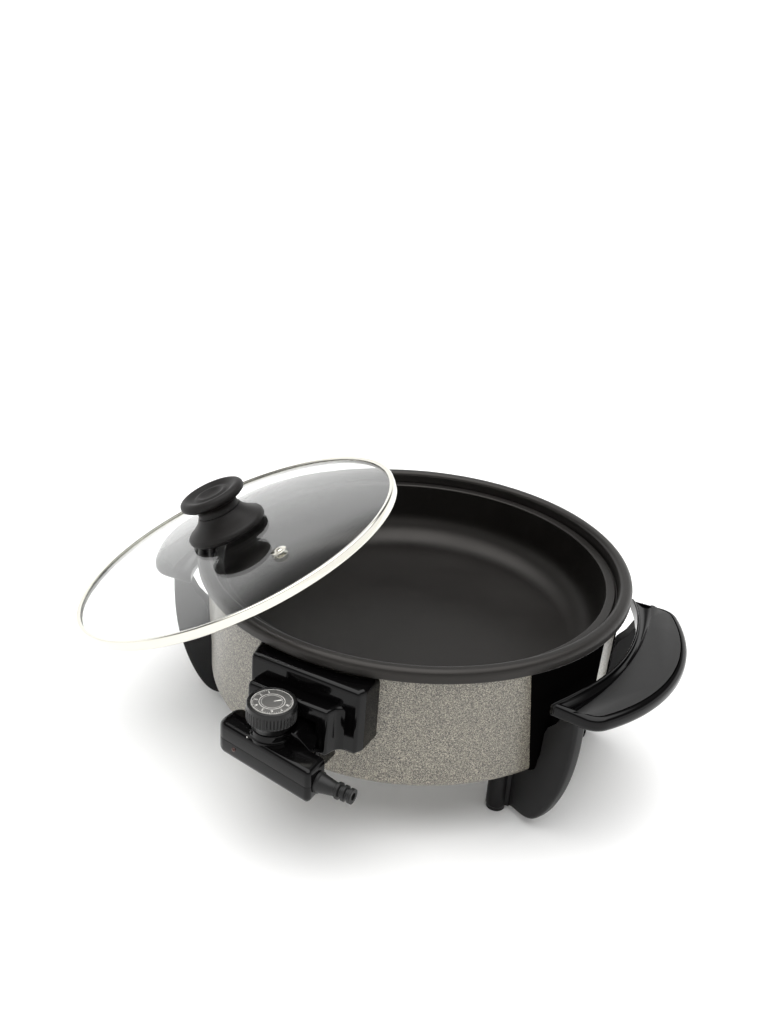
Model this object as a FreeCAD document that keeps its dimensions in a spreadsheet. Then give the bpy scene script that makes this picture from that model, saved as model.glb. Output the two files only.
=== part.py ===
import FreeCAD, Part
import Sketcher
import math
import os
from FreeCAD import Vector, Placement, Rotation

# Round electric skillet with a plug-in temperature controller and a loose glass lid.
# Frame: millimetres, Z up, floor at z = 0, pan axis on Z, side handles on +X and -X,
# controller socket facing -Y.

doc = FreeCAD.newDocument("electric_skillet")
sheet = doc.addObject("Spreadsheet::Sheet", "Dims")

DIMS = [
    # pan
    ("rim_radius", 164.5), ("rim_top", 149.5), ("lip_under", 140.0), ("lip_inner", 154.0),
    ("ledge_top", 141.0), ("ledge_inner", 145.5), ("groove_depth", 2.0),
    ("pan_inner", 145.0),
    ("floor_top", 92.0), ("floor_thick", 5.0), ("cove_radius", 26.0), ("pan_wall", 3.4),
    # shell
    ("shell_top_radius", 157.6), ("shell_low_radius", 155.0), ("shell_bottom", 48.0),
    ("shell_corner", 16.0), ("shell_thick", 1.8), ("shell_opening", 112.0),
    # base
    ("base_radius", 119.0), ("base_thick", 1.8), ("base_drop", 1.8),
    # element and probe
    ("element_radius", 85.0), ("element_tube", 4.0), ("element_z", 83.0),
    ("sock_x", 4.0), ("pin_offset", 13.0), ("pin_radius", 2.4), ("probe_z", 82.0),
    ("probe_radius", 3.0), ("guide_inner", 3.4), ("guide_outer", 4.6),
    # handles and legs
    ("wing_top", 119.0), ("wing_thick", 11.0), ("wing_inner", 172.0), ("wing_reach", 212.0),
    ("leg_angle", 25.0), ("leg_thick", 10.0), ("post_radius", 7.5), ("post_r", 127.0),
    ("post_side", 8.5), ("foot_pad", 2.5), ("bracket_thick", 2.5), ("bracket_half", 33.0),
    # controller
    ("body_low", 78.0), ("body_split", 89.5), ("body_top", 101.0), ("neck_half", 21.5),
    ("neck_top", 111.0), ("body_wall", 2.2),
    # dial
    ("dial_x", 1.0), ("dial_y", -196.0), ("dial_radius", 16.6), ("dial_top", 125.5),
    ("dial_collar", 12.0), ("spindle_radius", 3.0), ("spindle_gap", 0.08),
    # lid
    ("lid_radius", 129.0), ("band_height", 8.0), ("glass_thick", 4.0), ("glass_rise", 11.5),
    ("knob_radius", 25.0), ("skirt_radius", 30.0), ("vent_radius", 80.0),
    ("lid_cx", -115.33), ("lid_cy", -77.82), ("lid_cz", 156.96),
]
for row, (alias, value) in enumerate(DIMS, start=1):
    sheet.set("A%d" % row, alias)
    sheet.set("B%d" % row, repr(value))
    sheet.setAlias("B%d" % row, alias)
doc.recompute()


class Q:
    """A length with both its value and the sheet expression that gives it."""

    def __init__(self, v, e):
        self.v = float(v)
        self.e = e

    @staticmethod
    def of(x):
        return x if isinstance(x, Q) else Q(x, "%.6g" % float(x))

    def __add__(self, o):
        o = Q.of(o)
        return Q(self.v + o.v, "(%s + %s)" % (self.e, o.e))

    def __radd__(self, o):
        return Q.of(o) + self

    def __sub__(self, o):
        o = Q.of(o)
        return Q(self.v - o.v, "(%s - %s)" % (self.e, o.e))

    def __rsub__(self, o):
        return Q.of(o) - self

    def __mul__(self, o):
        o = Q.of(o)
        return Q(self.v * o.v, "(%s * %s)" % (self.e, o.e))

    def __rmul__(self, o):
        return Q.of(o) * self

    def __truediv__(self, o):
        o = Q.of(o)
        return Q(self.v / o.v, "(%s / %s)" % (self.e, o.e))

    def __neg__(self):
        return Q(-self.v, "(0 - %s)" % self.e)


def S(alias):
    return Q(float(sheet.get(alias)), "Dims.%s" % alias)


def F(alias):
    return float(sheet.get(alias))


NODES = {}


def node(name, obj):
    obj.Label = name
    NODES[name] = obj
    return obj


def body(name):
    return doc.addObject("PartDesign::Body", name)


def plane_of(b, role):
    for f in b.Origin.OriginFeatures:
        if f.Role == role:
            return f
    raise RuntimeError("no plane " + role)


def sketch(b, role, name, offset=None):
    s = b.newObject("Sketcher::SketchObject", name)
    s.AttachmentSupport = [(plane_of(b, role), "")]
    s.MapMode = "FlatFace"
    if offset is not None:
        q = Q.of(offset)
        s.AttachmentOffset = Placement(Vector(0, 0, q.v), Rotation())
        if "Dims" in q.e:
            s.setExpression("AttachmentOffset.Base.z", q.e)
    return s


def outline(s, pts, arcs=None, start=0):
    """Closed outline through pts. arcs maps the index of a side to (radius, bulge sign)."""
    arcs = arcs or {}
    n = len(pts)
    P = [(Q.of(a), Q.of(b)) for a, b in pts]
    ids = []
    for i in range(n):
        a, b = P[i], P[(i + 1) % n]
        A, B = Vector(a[0].v, a[1].v, 0), Vector(b[0].v, b[1].v, 0)
        if i in arcs:
            rad, side = arcs[i]
            rad = Q.of(rad)
            M = (A + B) * 0.5
            d = B - A
            half = d.Length / 2.0
            up = Vector(-d.y, d.x, 0) * (1.0 / d.Length)
            hgt = math.sqrt(max(rad.v ** 2 - half ** 2, 0.0))
            C = M - up * (hgt * side)
            mid = C + up * (rad.v * side)
            arc = Part.Arc(B, mid, A) if side > 0 else Part.Arc(A, mid, B)
            ids.append(s.addGeometry(arc, False))
        else:
            ids.append(s.addGeometry(Part.LineSegment(A, B), False))
    ends = []
    for i, g in enumerate(ids):
        geo = s.Geometry[g]
        A = Vector(P[i][0].v, P[i][1].v, 0)
        if (geo.StartPoint - A).Length < 1e-4:
            ends.append((1, 2))
        else:
            ends.append((2, 1))
    C = []
    for i in range(n):
        C.append(("Coincident", (ids[i], ends[i][1], ids[(i + 1) % n], ends[(i + 1) % n][0]), None))
    for i in range(n):
        for k, kind in ((0, "DistanceX"), (1, "DistanceY")):
            q = P[i][k]
            if abs(q.v) < 1e-9:
                C.append(("PointOnObject", (ids[i], ends[i][0], -2 if k == 0 else -1), None))
            else:
                C.append((kind, (-1, 1, ids[i], ends[i][0]), q))
    for i, g in enumerate(ids):
        if i in arcs:
            C.append(("Radius", (g,), Q.of(arcs[i][0])))
    constrain(s, C)
    doc.recompute()
    for i, g in enumerate(ids):
        if i in arcs:
            geo = s.Geometry[g]
            span = abs(geo.LastParameter - geo.FirstParameter)
            if span > math.pi + 0.01:
                raise RuntimeError("arc %d of %s runs the long way round" % (i, s.Name))
    return ids


def constrain(s, C):
    """Adds all of a sketch's constraints at once, then ties their values to the sheet."""
    first = len(s.Constraints)
    s.addConstraint([Sketcher.Constraint(kind, *args) if q is None else Sketcher.Constraint(kind, *args, q.v)
                     for kind, args, q in C])
    for i, (kind, args, q) in enumerate(C):
        if q is not None and "Dims" in q.e:
            s.setExpression("Constraints[%d]" % (first + i), q.e)


def ring_sketch(s, r, cx=0.0, cy=0.0):
    r, cx, cy = Q.of(r), Q.of(cx), Q.of(cy)
    g = s.addGeometry(Part.Circle(Vector(cx.v, cy.v, 0), Vector(0, 0, 1), r.v), False)
    C = [("Radius", (g,), r)]
    for k, (kind, q) in enumerate((("DistanceX", cx), ("DistanceY", cy))):
        if abs(q.v) < 1e-9:
            C.append(("PointOnObject", (g, 3, -2 if k == 0 else -1), None))
        else:
            C.append((kind, (-1, 1, g, 3), q))
    constrain(s, C)
    return g


def revolve(b, s, angle=360.0, mid=False, name="Revolution"):
    r = b.newObject("PartDesign::Revolution", name)
    r.Profile = s
    r.ReferenceAxis = (s, ["V_Axis"])
    r.Angle = Q.of(angle).v
    if "Dims" in Q.of(angle).e:
        r.setExpression("Angle", Q.of(angle).e)
    r.Midplane = mid
    return r


def pad(b, s, length, mid=False, rev=False, name="Pad"):
    p = b.newObject("PartDesign::Pad", name)
    p.Profile = s
    q = Q.of(length)
    p.Length = q.v
    if "Dims" in q.e:
        p.setExpression("Length", q.e)
    p.Midplane = mid
    p.Reversed = rev
    return p


def pocket(b, s, length, rev=False, mid=False, name="Pocket"):
    p = b.newObject("PartDesign::Pocket", name)
    p.Profile = s
    q = Q.of(length)
    p.Length = q.v
    if "Dims" in q.e:
        p.setExpression("Length", q.e)
    p.Reversed = rev
    p.Midplane = mid
    return p


def lost(before, feature, least=1.0):
    """A cut has to take material away."""
    doc.recompute()
    if feature.Shape.isNull():
        raise RuntimeError("%s failed: %s" % (feature.Name, [o.Name for o in doc.Objects if "Invalid" in o.State]))
    v = feature.Shape.Volume
    if before - v < least:
        raise RuntimeError("%s cuts nothing: %.1f -> %.1f" % (feature.Name, before, v))


def round_edges(b, base, radius, test, kind="Fillet", least=1):
    doc.recompute()
    names = []
    for i, e in enumerate(base.Shape.Edges, start=1):
        if test(e):
            names.append("Edge%d" % i)
    if len(names) < least:
        raise RuntimeError("no edges for %s on %s: %d edges, %s" % (
            kind, b.Name, len(base.Shape.Edges), [o.Name for o in doc.Objects if "Invalid" in o.State]))
    f = b.newObject("PartDesign::" + kind, kind)
    f.Base = (base, names)
    q = Q.of(radius)
    if kind == "Fillet":
        f.Radius = q.v
    else:
        f.Size = q.v
    doc.recompute()
    if "Invalid" in f.State or f.Shape.isNull() or not f.Shape.isValid():
        raise RuntimeError("%s failed on %s: %s" % (kind, b.Name, [
            (n, base.Shape.Edges[int(n[4:]) - 1].Curve.TypeId, tuple(round(v, 2) for v in mid_of(base.Shape.Edges[int(n[4:]) - 1])))
            for n in names]))
    return f


def mid_of(e):
    return e.valueAt((e.FirstParameter + e.LastParameter) / 2.0)


def is_vertical(e, tol=1e-3):
    if len(e.Vertexes) != 2:
        return False
    a, b = e.Vertexes[0].Point, e.Vertexes[1].Point
    return abs(a.x - b.x) < tol and abs(a.y - b.y) < tol and abs(a.z - b.z) > tol


def bind(o, prop, q):
    q = Q.of(q)
    if "Dims" in q.e:
        o.setExpression(prop, q.e)


def cyl(name, r, length, base, axis="z"):
    """Cylinder from base along +z, +x or -y."""
    c = doc.addObject("Part::Cylinder", name)
    r, length = Q.of(r), Q.of(length)
    c.Radius, c.Height = r.v, length.v
    bind(c, "Radius", r)
    bind(c, "Height", length)
    rot = {"z": Rotation(), "x": Rotation(Vector(0, 1, 0), 90), "-y": Rotation(Vector(1, 0, 0), 90),
           "y": Rotation(Vector(1, 0, 0), -90)}[axis]
    b = [Q.of(v) for v in base]
    c.Placement = Placement(Vector(b[0].v, b[1].v, b[2].v), rot)
    for k, ax in enumerate("xyz"):
        if "Dims" in b[k].e:
            c.setExpression("Placement.Base.%s" % ax, b[k].e)
    return c


def box(name, lo, size):
    b = doc.addObject("Part::Box", name)
    lo = [Q.of(v) for v in lo]
    size = [Q.of(v) for v in size]
    b.Length, b.Width, b.Height = [q.v for q in size]
    for prop, q in zip(("Length", "Width", "Height"), size):
        bind(b, prop, q)
    b.Placement = Placement(Vector(lo[0].v, lo[1].v, lo[2].v), Rotation())
    for k, ax in enumerate("xyz"):
        if "Dims" in lo[k].e:
            b.setExpression("Placement.Base.%s" % ax, lo[k].e)
    return b


def cut(name, base, tools):
    tools = list(tools)
    if len(tools) == 1:
        tool = tools[0]
    else:
        tool = doc.addObject("Part::MultiFuse", name + "_tools")
        tool.Shapes = tools
    doc.recompute()
    before = base.Shape.Volume
    c = doc.addObject("Part::Cut", name + "_cut")
    c.Base = base
    c.Tool = tool
    lost(before, c, 0.5)
    return c


def fuse(name, parts):
    f = doc.addObject("Part::MultiFuse", name + "_fuse")
    f.Shapes = list(parts)
    f.Refine = True
    return f


# ---------------------------------------------------------------- pan
pan = body("pan")
s = sketch(pan, "XZ_Plane", "pan_profile")
R, T = S("rim_radius"), S("rim_top")
LI, LT, LE = S("lip_inner"), S("ledge_top"), S("ledge_inner")
SI = S("pan_inner")
FT, FH, CR, PW = S("floor_top"), S("floor_thick"), S("cove_radius"), S("pan_wall")
LU = S("lip_under")
pts = [
    (0, FT), (SI - CR, FT), (SI, FT + CR), (LE - 0.1, LT - 1.4), (LE + 0.9, LT), (LI - 1.6, LT), (LI - 1.4, LT - S("groove_depth")),
    (LI - 0.2, LT - S("groove_depth")), (LI + 0.6, T - 2.4), (LI + 3.4, T), (R - 3.6, T),
    (R, T - 4.6), (R, LU + 0.8), (R - 0.8, LU), (R - 9.4, LU), (R - 9.9, LU - 3.4),
    (R - 14.6, LU - 4.6),
    (SI + PW, LU - 7.0), (SI + PW, FT + CR), (SI - CR, FT - FH), (0, FT - FH),
]
outline(s, pts, {1: (CR, -1), 8: (3.4, 1), 10: (5.4, 1), 18: (CR + PW + 0.8, 1)})
revolve(pan, s)
node("pan", pan)

# ---------------------------------------------------------------- shell
TR, BR, SB, SC, SH = (S("shell_top_radius"), S("shell_low_radius"), S("shell_bottom"),
                      S("shell_corner"), S("shell_thick"))
shell = body("shell_raw")
s = sketch(shell, "XZ_Plane", "shell_profile")
outline(s, [(S("shell_opening"), SB), (BR - SC, SB), (BR, SB + SC), (TR, LU), (TR - SH, LU),
            (BR - SH, SB + SC), (BR - SC, SB + SH), (S("shell_opening"), SB + SH)],
        {1: (SC, -1), 5: (SC - SH, 1)})
revolve(shell, s)

LEG_SITES = [("front_right", -1, 0), ("back_right", 1, 0), ("front_left", 1, 180), ("back_left", -1, 180)]


def leg_xy(sign, turn, r, side):
    """World x, y of a point r out and side off a leg's radial plane, away from the handle's middle."""
    a = math.radians(sign * F("leg_angle") + turn)
    ex, ey = math.cos(a), math.sin(a)
    tx, ty = -math.sin(a) * sign, math.cos(a) * sign
    return ex * r + tx * side, ey * r + ty * side


SX = S("sock_x")
tools = [box("socket_window", (SX - 21, -170, 74), (42, 30, 42))]
for nm, sgn, turn in LEG_SITES:
    x, y = leg_xy(sgn, turn, F("post_r"), F("post_side"))
    tools.append(cyl("shell_hole_" + nm, 2.3, 8, (x, y, SB - 3)))
for i, x in enumerate((-28.0, 44.0)):
    tools.append(cyl("shell_socket_hole%d" % i, 2.3, 30, (x, -135, 126), "-y"))
node("outer_shell", cut("outer_shell", shell, tools))

# ---------------------------------------------------------------- base plate with vent slots
base = body("base_plate")
s = sketch(base, "XZ_Plane", "base_profile")
BD, BT = S("base_drop"), S("base_thick")
outline(s, [(4.3, SB + 2.5), (106, SB + 2.5), (109.5, SB - BD), (S("base_radius"), SB - BD),
            (S("base_radius"), SB), (110.6, SB), (107.0, SB + 2.5 + BT), (4.3, SB + 2.5 + BT)])
rb = revolve(base, s)
s = sketch(base, "XY_Plane", "slot", SB - 5)
outline(s, [(62, -2.2), (88, -2.2), (88, 2.2), (62, 2.2)], {1: (2.5, -1), 3: (2.5, -1)})
doc.recompute()
v0 = rb.Shape.Volume
pk = pocket(base, s, 20, rev=True)
lost(v0, pk)
pat = base.newObject("PartDesign::PolarPattern", "slots")
pat.Originals = [pk]
pat.Axis = (s, ["N_Axis"])
pat.Angle = 360
pat.Occurrences = 12
base.Tip = pat
node("base_plate", base)

# heat reflector, spacer, stud and nut on the pan axis
refl = body("heat_reflector")
s = sketch(refl, "XZ_Plane", "reflector_profile")
outline(s, [(4.4, 66), (114, 66), (126, 73.2), (126, 74.2), (113.6, 67), (4.4, 67)])
revolve(refl, s)
node("heat_reflector", refl)
node("centre_stud", cyl("centre_stud_c", 4.0, S("floor_top") - S("floor_thick") - (SB - 6), (0, 0, SB - 6)))
node("reflector_spacer", cut("reflector_spacer", cyl("spacer_o", 7, 66 - (SB.v + 2.5 + 1.8), (0, 0, SB + 4.3)),
                             [cyl("spacer_i", 4.3, 30, (0, 0, SB))]))
nut = doc.addObject("Part::Prism", "nut_p")
nut.Polygon = 6
nut.Circumradius = 8.1
nut.Height = 5.0
nut.Placement = Placement(Vector(0, 0, SB.v - 2.5), Rotation())
node("base_nut", cut("base_nut", nut, [cyl("nut_i", 4.0, 12, (0, 0, SB - 6))]))

# ---------------------------------------------------------------- heating element
ER, ET, EZ, PO = F("element_radius"), F("element_tube"), F("element_z"), F("pin_offset")
sx = F("sock_x")
BEND = 10.0
el = body("heating_element")
path = sketch(el, "XY_Plane", "element_path", S("element_z"))
xr, xl = sx + PO, sx - PO
ycr = -math.sqrt((ER + BEND) ** 2 - (xr + BEND) ** 2)
ycl = -math.sqrt((ER + BEND) ** 2 - (xl - BEND) ** 2)
k = ER / (ER + BEND)
PR = Vector((xr + BEND) * k, ycr * k, 0)
PL = Vector((xl - BEND) * k, ycl * k, 0)


def arc_about(c, a, b, rad):
    m = (a + b) * 0.5 - c
    m.normalize()
    return Part.Arc(a, c + m * rad, b)


path.addGeometry(Part.LineSegment(Vector(xr, -151.5, 0), Vector(xr, ycr, 0)), False)
path.addGeometry(arc_about(Vector(xr + BEND, ycr, 0), Vector(xr, ycr, 0), PR, BEND), False)
path.addGeometry(Part.Arc(PR, Vector(0, ER, 0), PL), False)
path.addGeometry(arc_about(Vector(xl - BEND, ycl, 0), PL, Vector(xl, ycl, 0), BEND), False)
path.addGeometry(Part.LineSegment(Vector(xl, ycl, 0), Vector(xl, -151.5, 0)), False)
prof = sketch(el, "XZ_Plane", "element_section", 151.5)
ring_sketch(prof, S("element_tube"), SX + S("pin_offset"), S("element_z"))
doc.recompute()
pipe = el.newObject("PartDesign::AdditivePipe", "element_tube_pipe")
pipe.Profile = prof
pipe.Spine = (path, ["Edge1", "Edge2", "Edge3", "Edge4", "Edge5"])
doc.recompute()
node("heating_element", el)

for i, deg in enumerate((90, 210, 330)):
    a = math.radians(deg)
    clampo = box("clamp_o%d" % i, (-6, -9, -5.6), (12, 18, 9.6))
    clampi = cyl("clamp_i%d" % i, 4.3, 40, (-20, 0, 0), "x")
    slot = box("clamp_s%d" % i, (-20, -4.3, 0), (40, 8.6, 10))
    c = cut("element_clamp_%d" % (i + 1), clampo, [clampi, slot])
    c.Placement = Placement(Vector(ER * math.cos(a), ER * math.sin(a), EZ), Rotation(Vector(0, 0, 1), deg + 90))
    node("element_clamp_%d" % (i + 1), c)

# guide tube for the probe, insulator and terminal pins
PZ = S("probe_z")
node("probe_guide_tube", cut("probe_guide_tube", cyl("guide_o", S("guide_outer"), 84, (SX, -152, PZ), "y"),
                             [cyl("guide_i", S("guide_inner"), 90, (SX, -155, PZ), "y")]))
node("terminal_insulator", cut("terminal_insulator", box("ins_o", (SX - 20.5, -150.5, 74.5), (41, 9, 18)), [
    cyl("ins_a", 4.1, 20, (SX + S("pin_offset"), -155, EZ), "y"),
    cyl("ins_b", 4.1, 20, (SX - S("pin_offset"), -155, EZ), "y"),
    cyl("ins_c", S("guide_outer") + 0.1, 20, (SX, -155, PZ), "y")]))
for nm, sg in (("left", -1), ("right", 1)):
    p = cyl("terminal_pin_%s_c" % nm, S("pin_radius"), 20.5, (SX + S("pin_offset") * sg, -151.5, EZ), "-y")
    node("terminal_pin_" + nm, p)

# ---------------------------------------------------------------- socket housing on the shell
sk = body("socket_raw")
s = sketch(sk, "XY_Plane", "block_plan", 90)
outline(s, [(-38, -140), (-38, -158), (-20, -172), (49, -172), (52, -166), (52, -140)])
p1 = pad(sk, s, 47)
s = sketch(sk, "XY_Plane", "inner_plan", 90)
outline(s, [(SX - 30, -150), (SX - 30, -184), (SX + 31, -184), (SX + 31, -179), (SX + 40, -171.5), (SX + 40, -150)],
        {3: (9.5, -1)})
p2 = pad(sk, s, 33, name="Pad_inner")
s = sketch(sk, "XY_Plane", "chin_plan", 72)
outline(s, [(SX - 25, -150), (SX - 25, -184), (SX + 25, -184), (SX + 25, -150)])
p3 = pad(sk, s, 19, name="Pad_chin")
doc.recompute()
f1 = round_edges(sk, p3, 4.0, lambda e: (abs(mid_of(e).z - 137) < 0.01 and mid_of(e).y < -150
                                         and e.Curve.TypeId == "Part::GeomLine"))
f2 = round_edges(sk, f1, 2.5, lambda e: (abs(mid_of(e).z - 123) < 0.01 and mid_of(e).y < -183.9))
f3 = round_edges(sk, f2, 2.0, lambda e: (is_vertical(e) and mid_of(e).y < -183.9))
s = sketch(sk, "XZ_Plane", "mouth", 183.5)
outline(s, [(SX - 23, 77), (SX + 23, 77), (SX + 23, 113), (SX - 23, 113)])
doc.recompute()
v0 = f3.Shape.Volume
pk = pocket(sk, s, 46, rev=False, name="Mouth")
doc.recompute()
if v0 - pk.Shape.Volume < 1000:
    pk.Reversed = True
lost(v0, pk, 1000)
s = sketch(sk, "XZ_Plane", "mouth_lead", 190)
outline(s, [(SX - 23, 77), (SX + 23, 77), (SX + 23, 113), (SX - 23, 113)])
pk2 = pocket(sk, s, 10, name="MouthLead")
doc.recompute()
if pk.Shape.Volume - pk2.Shape.Volume < 1:
    pk2.Reversed = True
lost(pk.Shape.Volume, pk2, 1)
drum = doc.addObject("Part::Cone", "shell_envelope")
drum.Radius1 = BR.v + 0.25
drum.Radius2 = TR.v + 0.25
bind(drum, "Radius1", BR + 0.25)
bind(drum, "Radius2", TR + 0.25)
drum.Height = LU.v - SB.v - SC.v
bind(drum, "Height", LU - SB - SC)
drum.Placement = Placement(Vector(0, 0, SB.v + SC.v), Rotation())
tools = [drum]
for i, x in enumerate((-28.0, 44.0)):
    tools.append(cyl("housing_hole%d" % i, 2.0, 24, (x, -143, 126), "-y"))
# the roof of the inner block stands back from the dial's rim
tools.append(box("dial_room", (SX - 31, -190, 112.9), (62.6, 11.4, 12)))
housing = cut("socket_housing", sk, tools)
node("socket_housing", housing)
for i, x in enumerate((-28.0, 44.0)):
    yin = -math.sqrt((TR.v - SH.v - 1.2) ** 2 - (abs(x) + 4.0) ** 2)
    head = cyl("ss_head%d" % i, 3.8, 3.0, (x, yin + 3.4, 126), "-y")
    shank = cyl("ss_shank%d" % i, 2.0, -yin - 0.0 + 0, (x, yin + 2.0, 126), "-y")
    shank.Height = 166.5 + yin + 2.0
    node("socket_screw_%d" % (i + 1), fuse("socket_screw_%d" % (i + 1), [head, shank]))

# ---------------------------------------------------------------- brackets, wings, legs, feet
BRT, WT, WH, WI, WR = (S("bracket_thick"), S("wing_top"), S("wing_thick"), S("wing_inner"), S("wing_reach"))
for nm, turn in (("right", 0), ("left", 180)):
    b = body("handle_bracket_%s_b" % nm)
    s = sketch(b, "XZ_Plane", "bracket_profile_" + nm)
    outline(s, [(BR + 0.3, SB + SC + 2), (BR + 0.3 + BRT, SB + SC + 2), (TR + 0.3 + BRT, LU - 2), (TR + 0.3, LU - 2)])
    rv = revolve(b, s, S("bracket_half") * 2, mid=True)
    b.Placement = Placement(Vector(0, 0, 0), Rotation(Vector(0, 0, 1), turn))
    node("handle_bracket_" + nm, b)

    # crescent handle: inner edge concentric with the rim, outer edge a flatter arc
    w = body("handle_" + nm)
    s = sketch(w, "XY_Plane", "wing_plan_" + nm, WT - WH)
    big, small, yw = 145.0, 17.0, 88.0
    xb = F("wing_reach") - big
    xs = xb + math.sqrt((big - small) ** 2 - (yw - small) ** 2)
    tx, ty = xb + (xs - xb) * big / (big - small), (yw - small) * big / (big - small)
    ye = 81.6
    xe = math.sqrt(F("wing_inner") ** 2 - ye ** 2)
    outline(s, [(xe, -ye), (xe + 1.1, -yw), (xs, -yw), (tx, -ty), (tx, ty), (xs, yw), (xe + 1.1, yw), (xe, ye)],
            {2: (small, -1), 3: (big, -1), 4: (small, -1), 7: (WI, 1)})
    wp = pad(w, s, WH)
    wf = round_edges(w, wp, 4.5, lambda e: (abs(mid_of(e).z - F("wing_top")) < 0.01
                                            and (abs(abs(mid_of(e).y) - yw) < 0.01 or mid_of(e).x > 180)))
    s = sketch(w, "XY_Plane", "wing_hollow_" + nm, WT - WH)
    outline(s, [(166.5, -73.0), (183.5, -66.5), (183.5, 66.5), (166.5, 73.0), (166.5, 58.0), (166.5, -58.0)],
            {1: (140.0, -1), 4: (176.3, 1)})
    doc.recompute()
    v0 = wf.Shape.Volume
    wk = pocket(w, s, 7.5, rev=True)
    lost(v0, wk, 1000)
    w.Placement = Placement(Vector(0, 0, 0), Rotation(Vector(0, 0, 1), turn))
    node("handle_" + nm, w)

PRR, PSD = S("post_r"), S("post_side")
for nm, sgn, turn in LEG_SITES:
    b = body("leg_raw_" + nm)
    s = sketch(b, "XZ_Plane", "fin_" + nm)
    zt = WT - WH
    # outer edge: a flat arc that turns into the rounded toe, tangent at the join
    ra, rt, z0, zc = 200.0, 12.0, 5.0, zt.v + 4.0
    xc = 187.0 - math.sqrt(ra ** 2 - 16.0)
    th = math.asin((zc - z0 - rt) / (ra - rt))
    xa, za = xc + ra * math.cos(th), zc - ra * math.sin(th)
    outline(s, [(161.2, 64), (161.2, 114), (171.2, 114), (171.8, zt), (187, zt), (xa, za), (xa - rt * math.cos(th), z0),
                (135, z0), (135, 47.3), (152, 47.3), (157.5, 54)], {4: (ra, 1), 5: (rt, 1)})
    fp = pad(b, s, S("leg_thick"), mid=True)
    ff = round_edges(b, fp, 2.6, lambda e: (e.BoundBox.YLength < 0.01 and e.Curve.TypeId == "Part::GeomCircle"))
    s = sketch(b, "XY_Plane", "rib_" + nm, 5)
    outline(s, [(PRR, PSD * sgn - 1.6), (137, PSD * sgn * 0.5 - 1.6), (137, PSD * sgn * 0.5 + 1.6), (PRR, PSD * sgn + 1.6)])
    pr = pad(b, s, SB - 5.7, name="Rib")
    s = sketch(b, "XY_Plane", "post_" + nm, S("foot_pad"))
    ring_sketch(s, S("post_radius"), PRR, PSD * sgn)
    pp = pad(b, s, SB - S("foot_pad"), name="Post")
    s = sketch(b, "XY_Plane", "bore_" + nm, S("foot_pad"))
    ring_sketch(s, 4.4, PRR, PSD * sgn)
    doc.recompute()
    v0 = pp.Shape.Volume
    k1 = pocket(b, s, 14.0, rev=True, name="Counterbore")
    lost(v0, k1, 100)
    s = sketch(b, "XY_Plane", "hole_" + nm, S("foot_pad"))
    ring_sketch(s, 2.15, PRR, PSD * sgn)
    doc.recompute()
    v1 = k1.Shape.Volume
    k2 = pocket(b, s, 60, rev=True, name="Hole")
    lost(v1, k2, 50)
    deg = sgn * F("leg_angle")
    b.Placement = Placement(Vector(0, 0, 0), Rotation(Vector(0, 0, 1), deg + turn))
    node("leg_" + nm, b)
    x, y = leg_xy(sgn, turn, F("post_r"), F("post_side"))
    fpad = cyl("foot_pad_%s_c" % nm, 6.8, S("foot_pad"), (x, y, 0))
    node("foot_pad_" + nm, fpad)
    z1 = F("foot_pad") + 14.0
    head = cyl("fs_head_" + nm, 4.1, 3.0, (x, y, z1 - 3.0))
    shank = cyl("fs_shank_" + nm, 2.1, SB.v + 6 - z1 + 1, (x, y, z1 - 1))
    node("foot_screw_" + nm, fuse("foot_screw_" + nm, [head, shank]))

# ---------------------------------------------------------------- plug-in controller
PLAN = [(SX - S("neck_half"), -164), (SX - S("neck_half"), -185.5), (-34, -183.4), (-40, -187.5), (-40, -198.5),
        (-34, -205), (38, -217), (44, -212.5), (44, -201), (40, -197.5), (SX + S("neck_half"), -195),
        (SX + S("neck_half"), -164)]
IN = 2.2
INNER = [(SX - S("neck_half") + IN, -164 - IN), (SX - S("neck_half") + IN, -188), (-33.3, -186.0), (-37.6, -188.8),
         (-37.6, -197.4), (-33.3, -202.6), (37.2, -214.4), (41.6, -211.2), (41.6, -202), (39, -199.9),
         (SX + S("neck_half") - IN, -197.4), (SX + S("neck_half") - IN, -164 - IN)]
SCREWS = ((-35.2, -193.5), (37.5, -205.5))
ZL, ZS, ZT, ZN = S("body_low"), S("body_split"), S("body_top"), S("neck_top")
low = body("controller_base_raw")
s = sketch(low, "XY_Plane", "low_plan", ZL)
outline(s, PLAN)
p = pad(low, s, ZS - ZL)
f1 = round_edges(low, p, 4.0, lambda e: is_vertical(e) and (mid_of(e).x < -33 or mid_of(e).x > 37))
f2 = round_edges(low, f1, 2.0, lambda e: abs(mid_of(e).z - F("body_low")) < 0.01 and mid_of(e).y < -198)
s = sketch(low, "XY_Plane", "low_hollow", ZL + IN)
outline(s, INNER)
doc.recompute()
v0 = f2.Shape.Volume
k1 = pocket(low, s, 30, rev=True)
lost(v0, k1, 1000)
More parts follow.
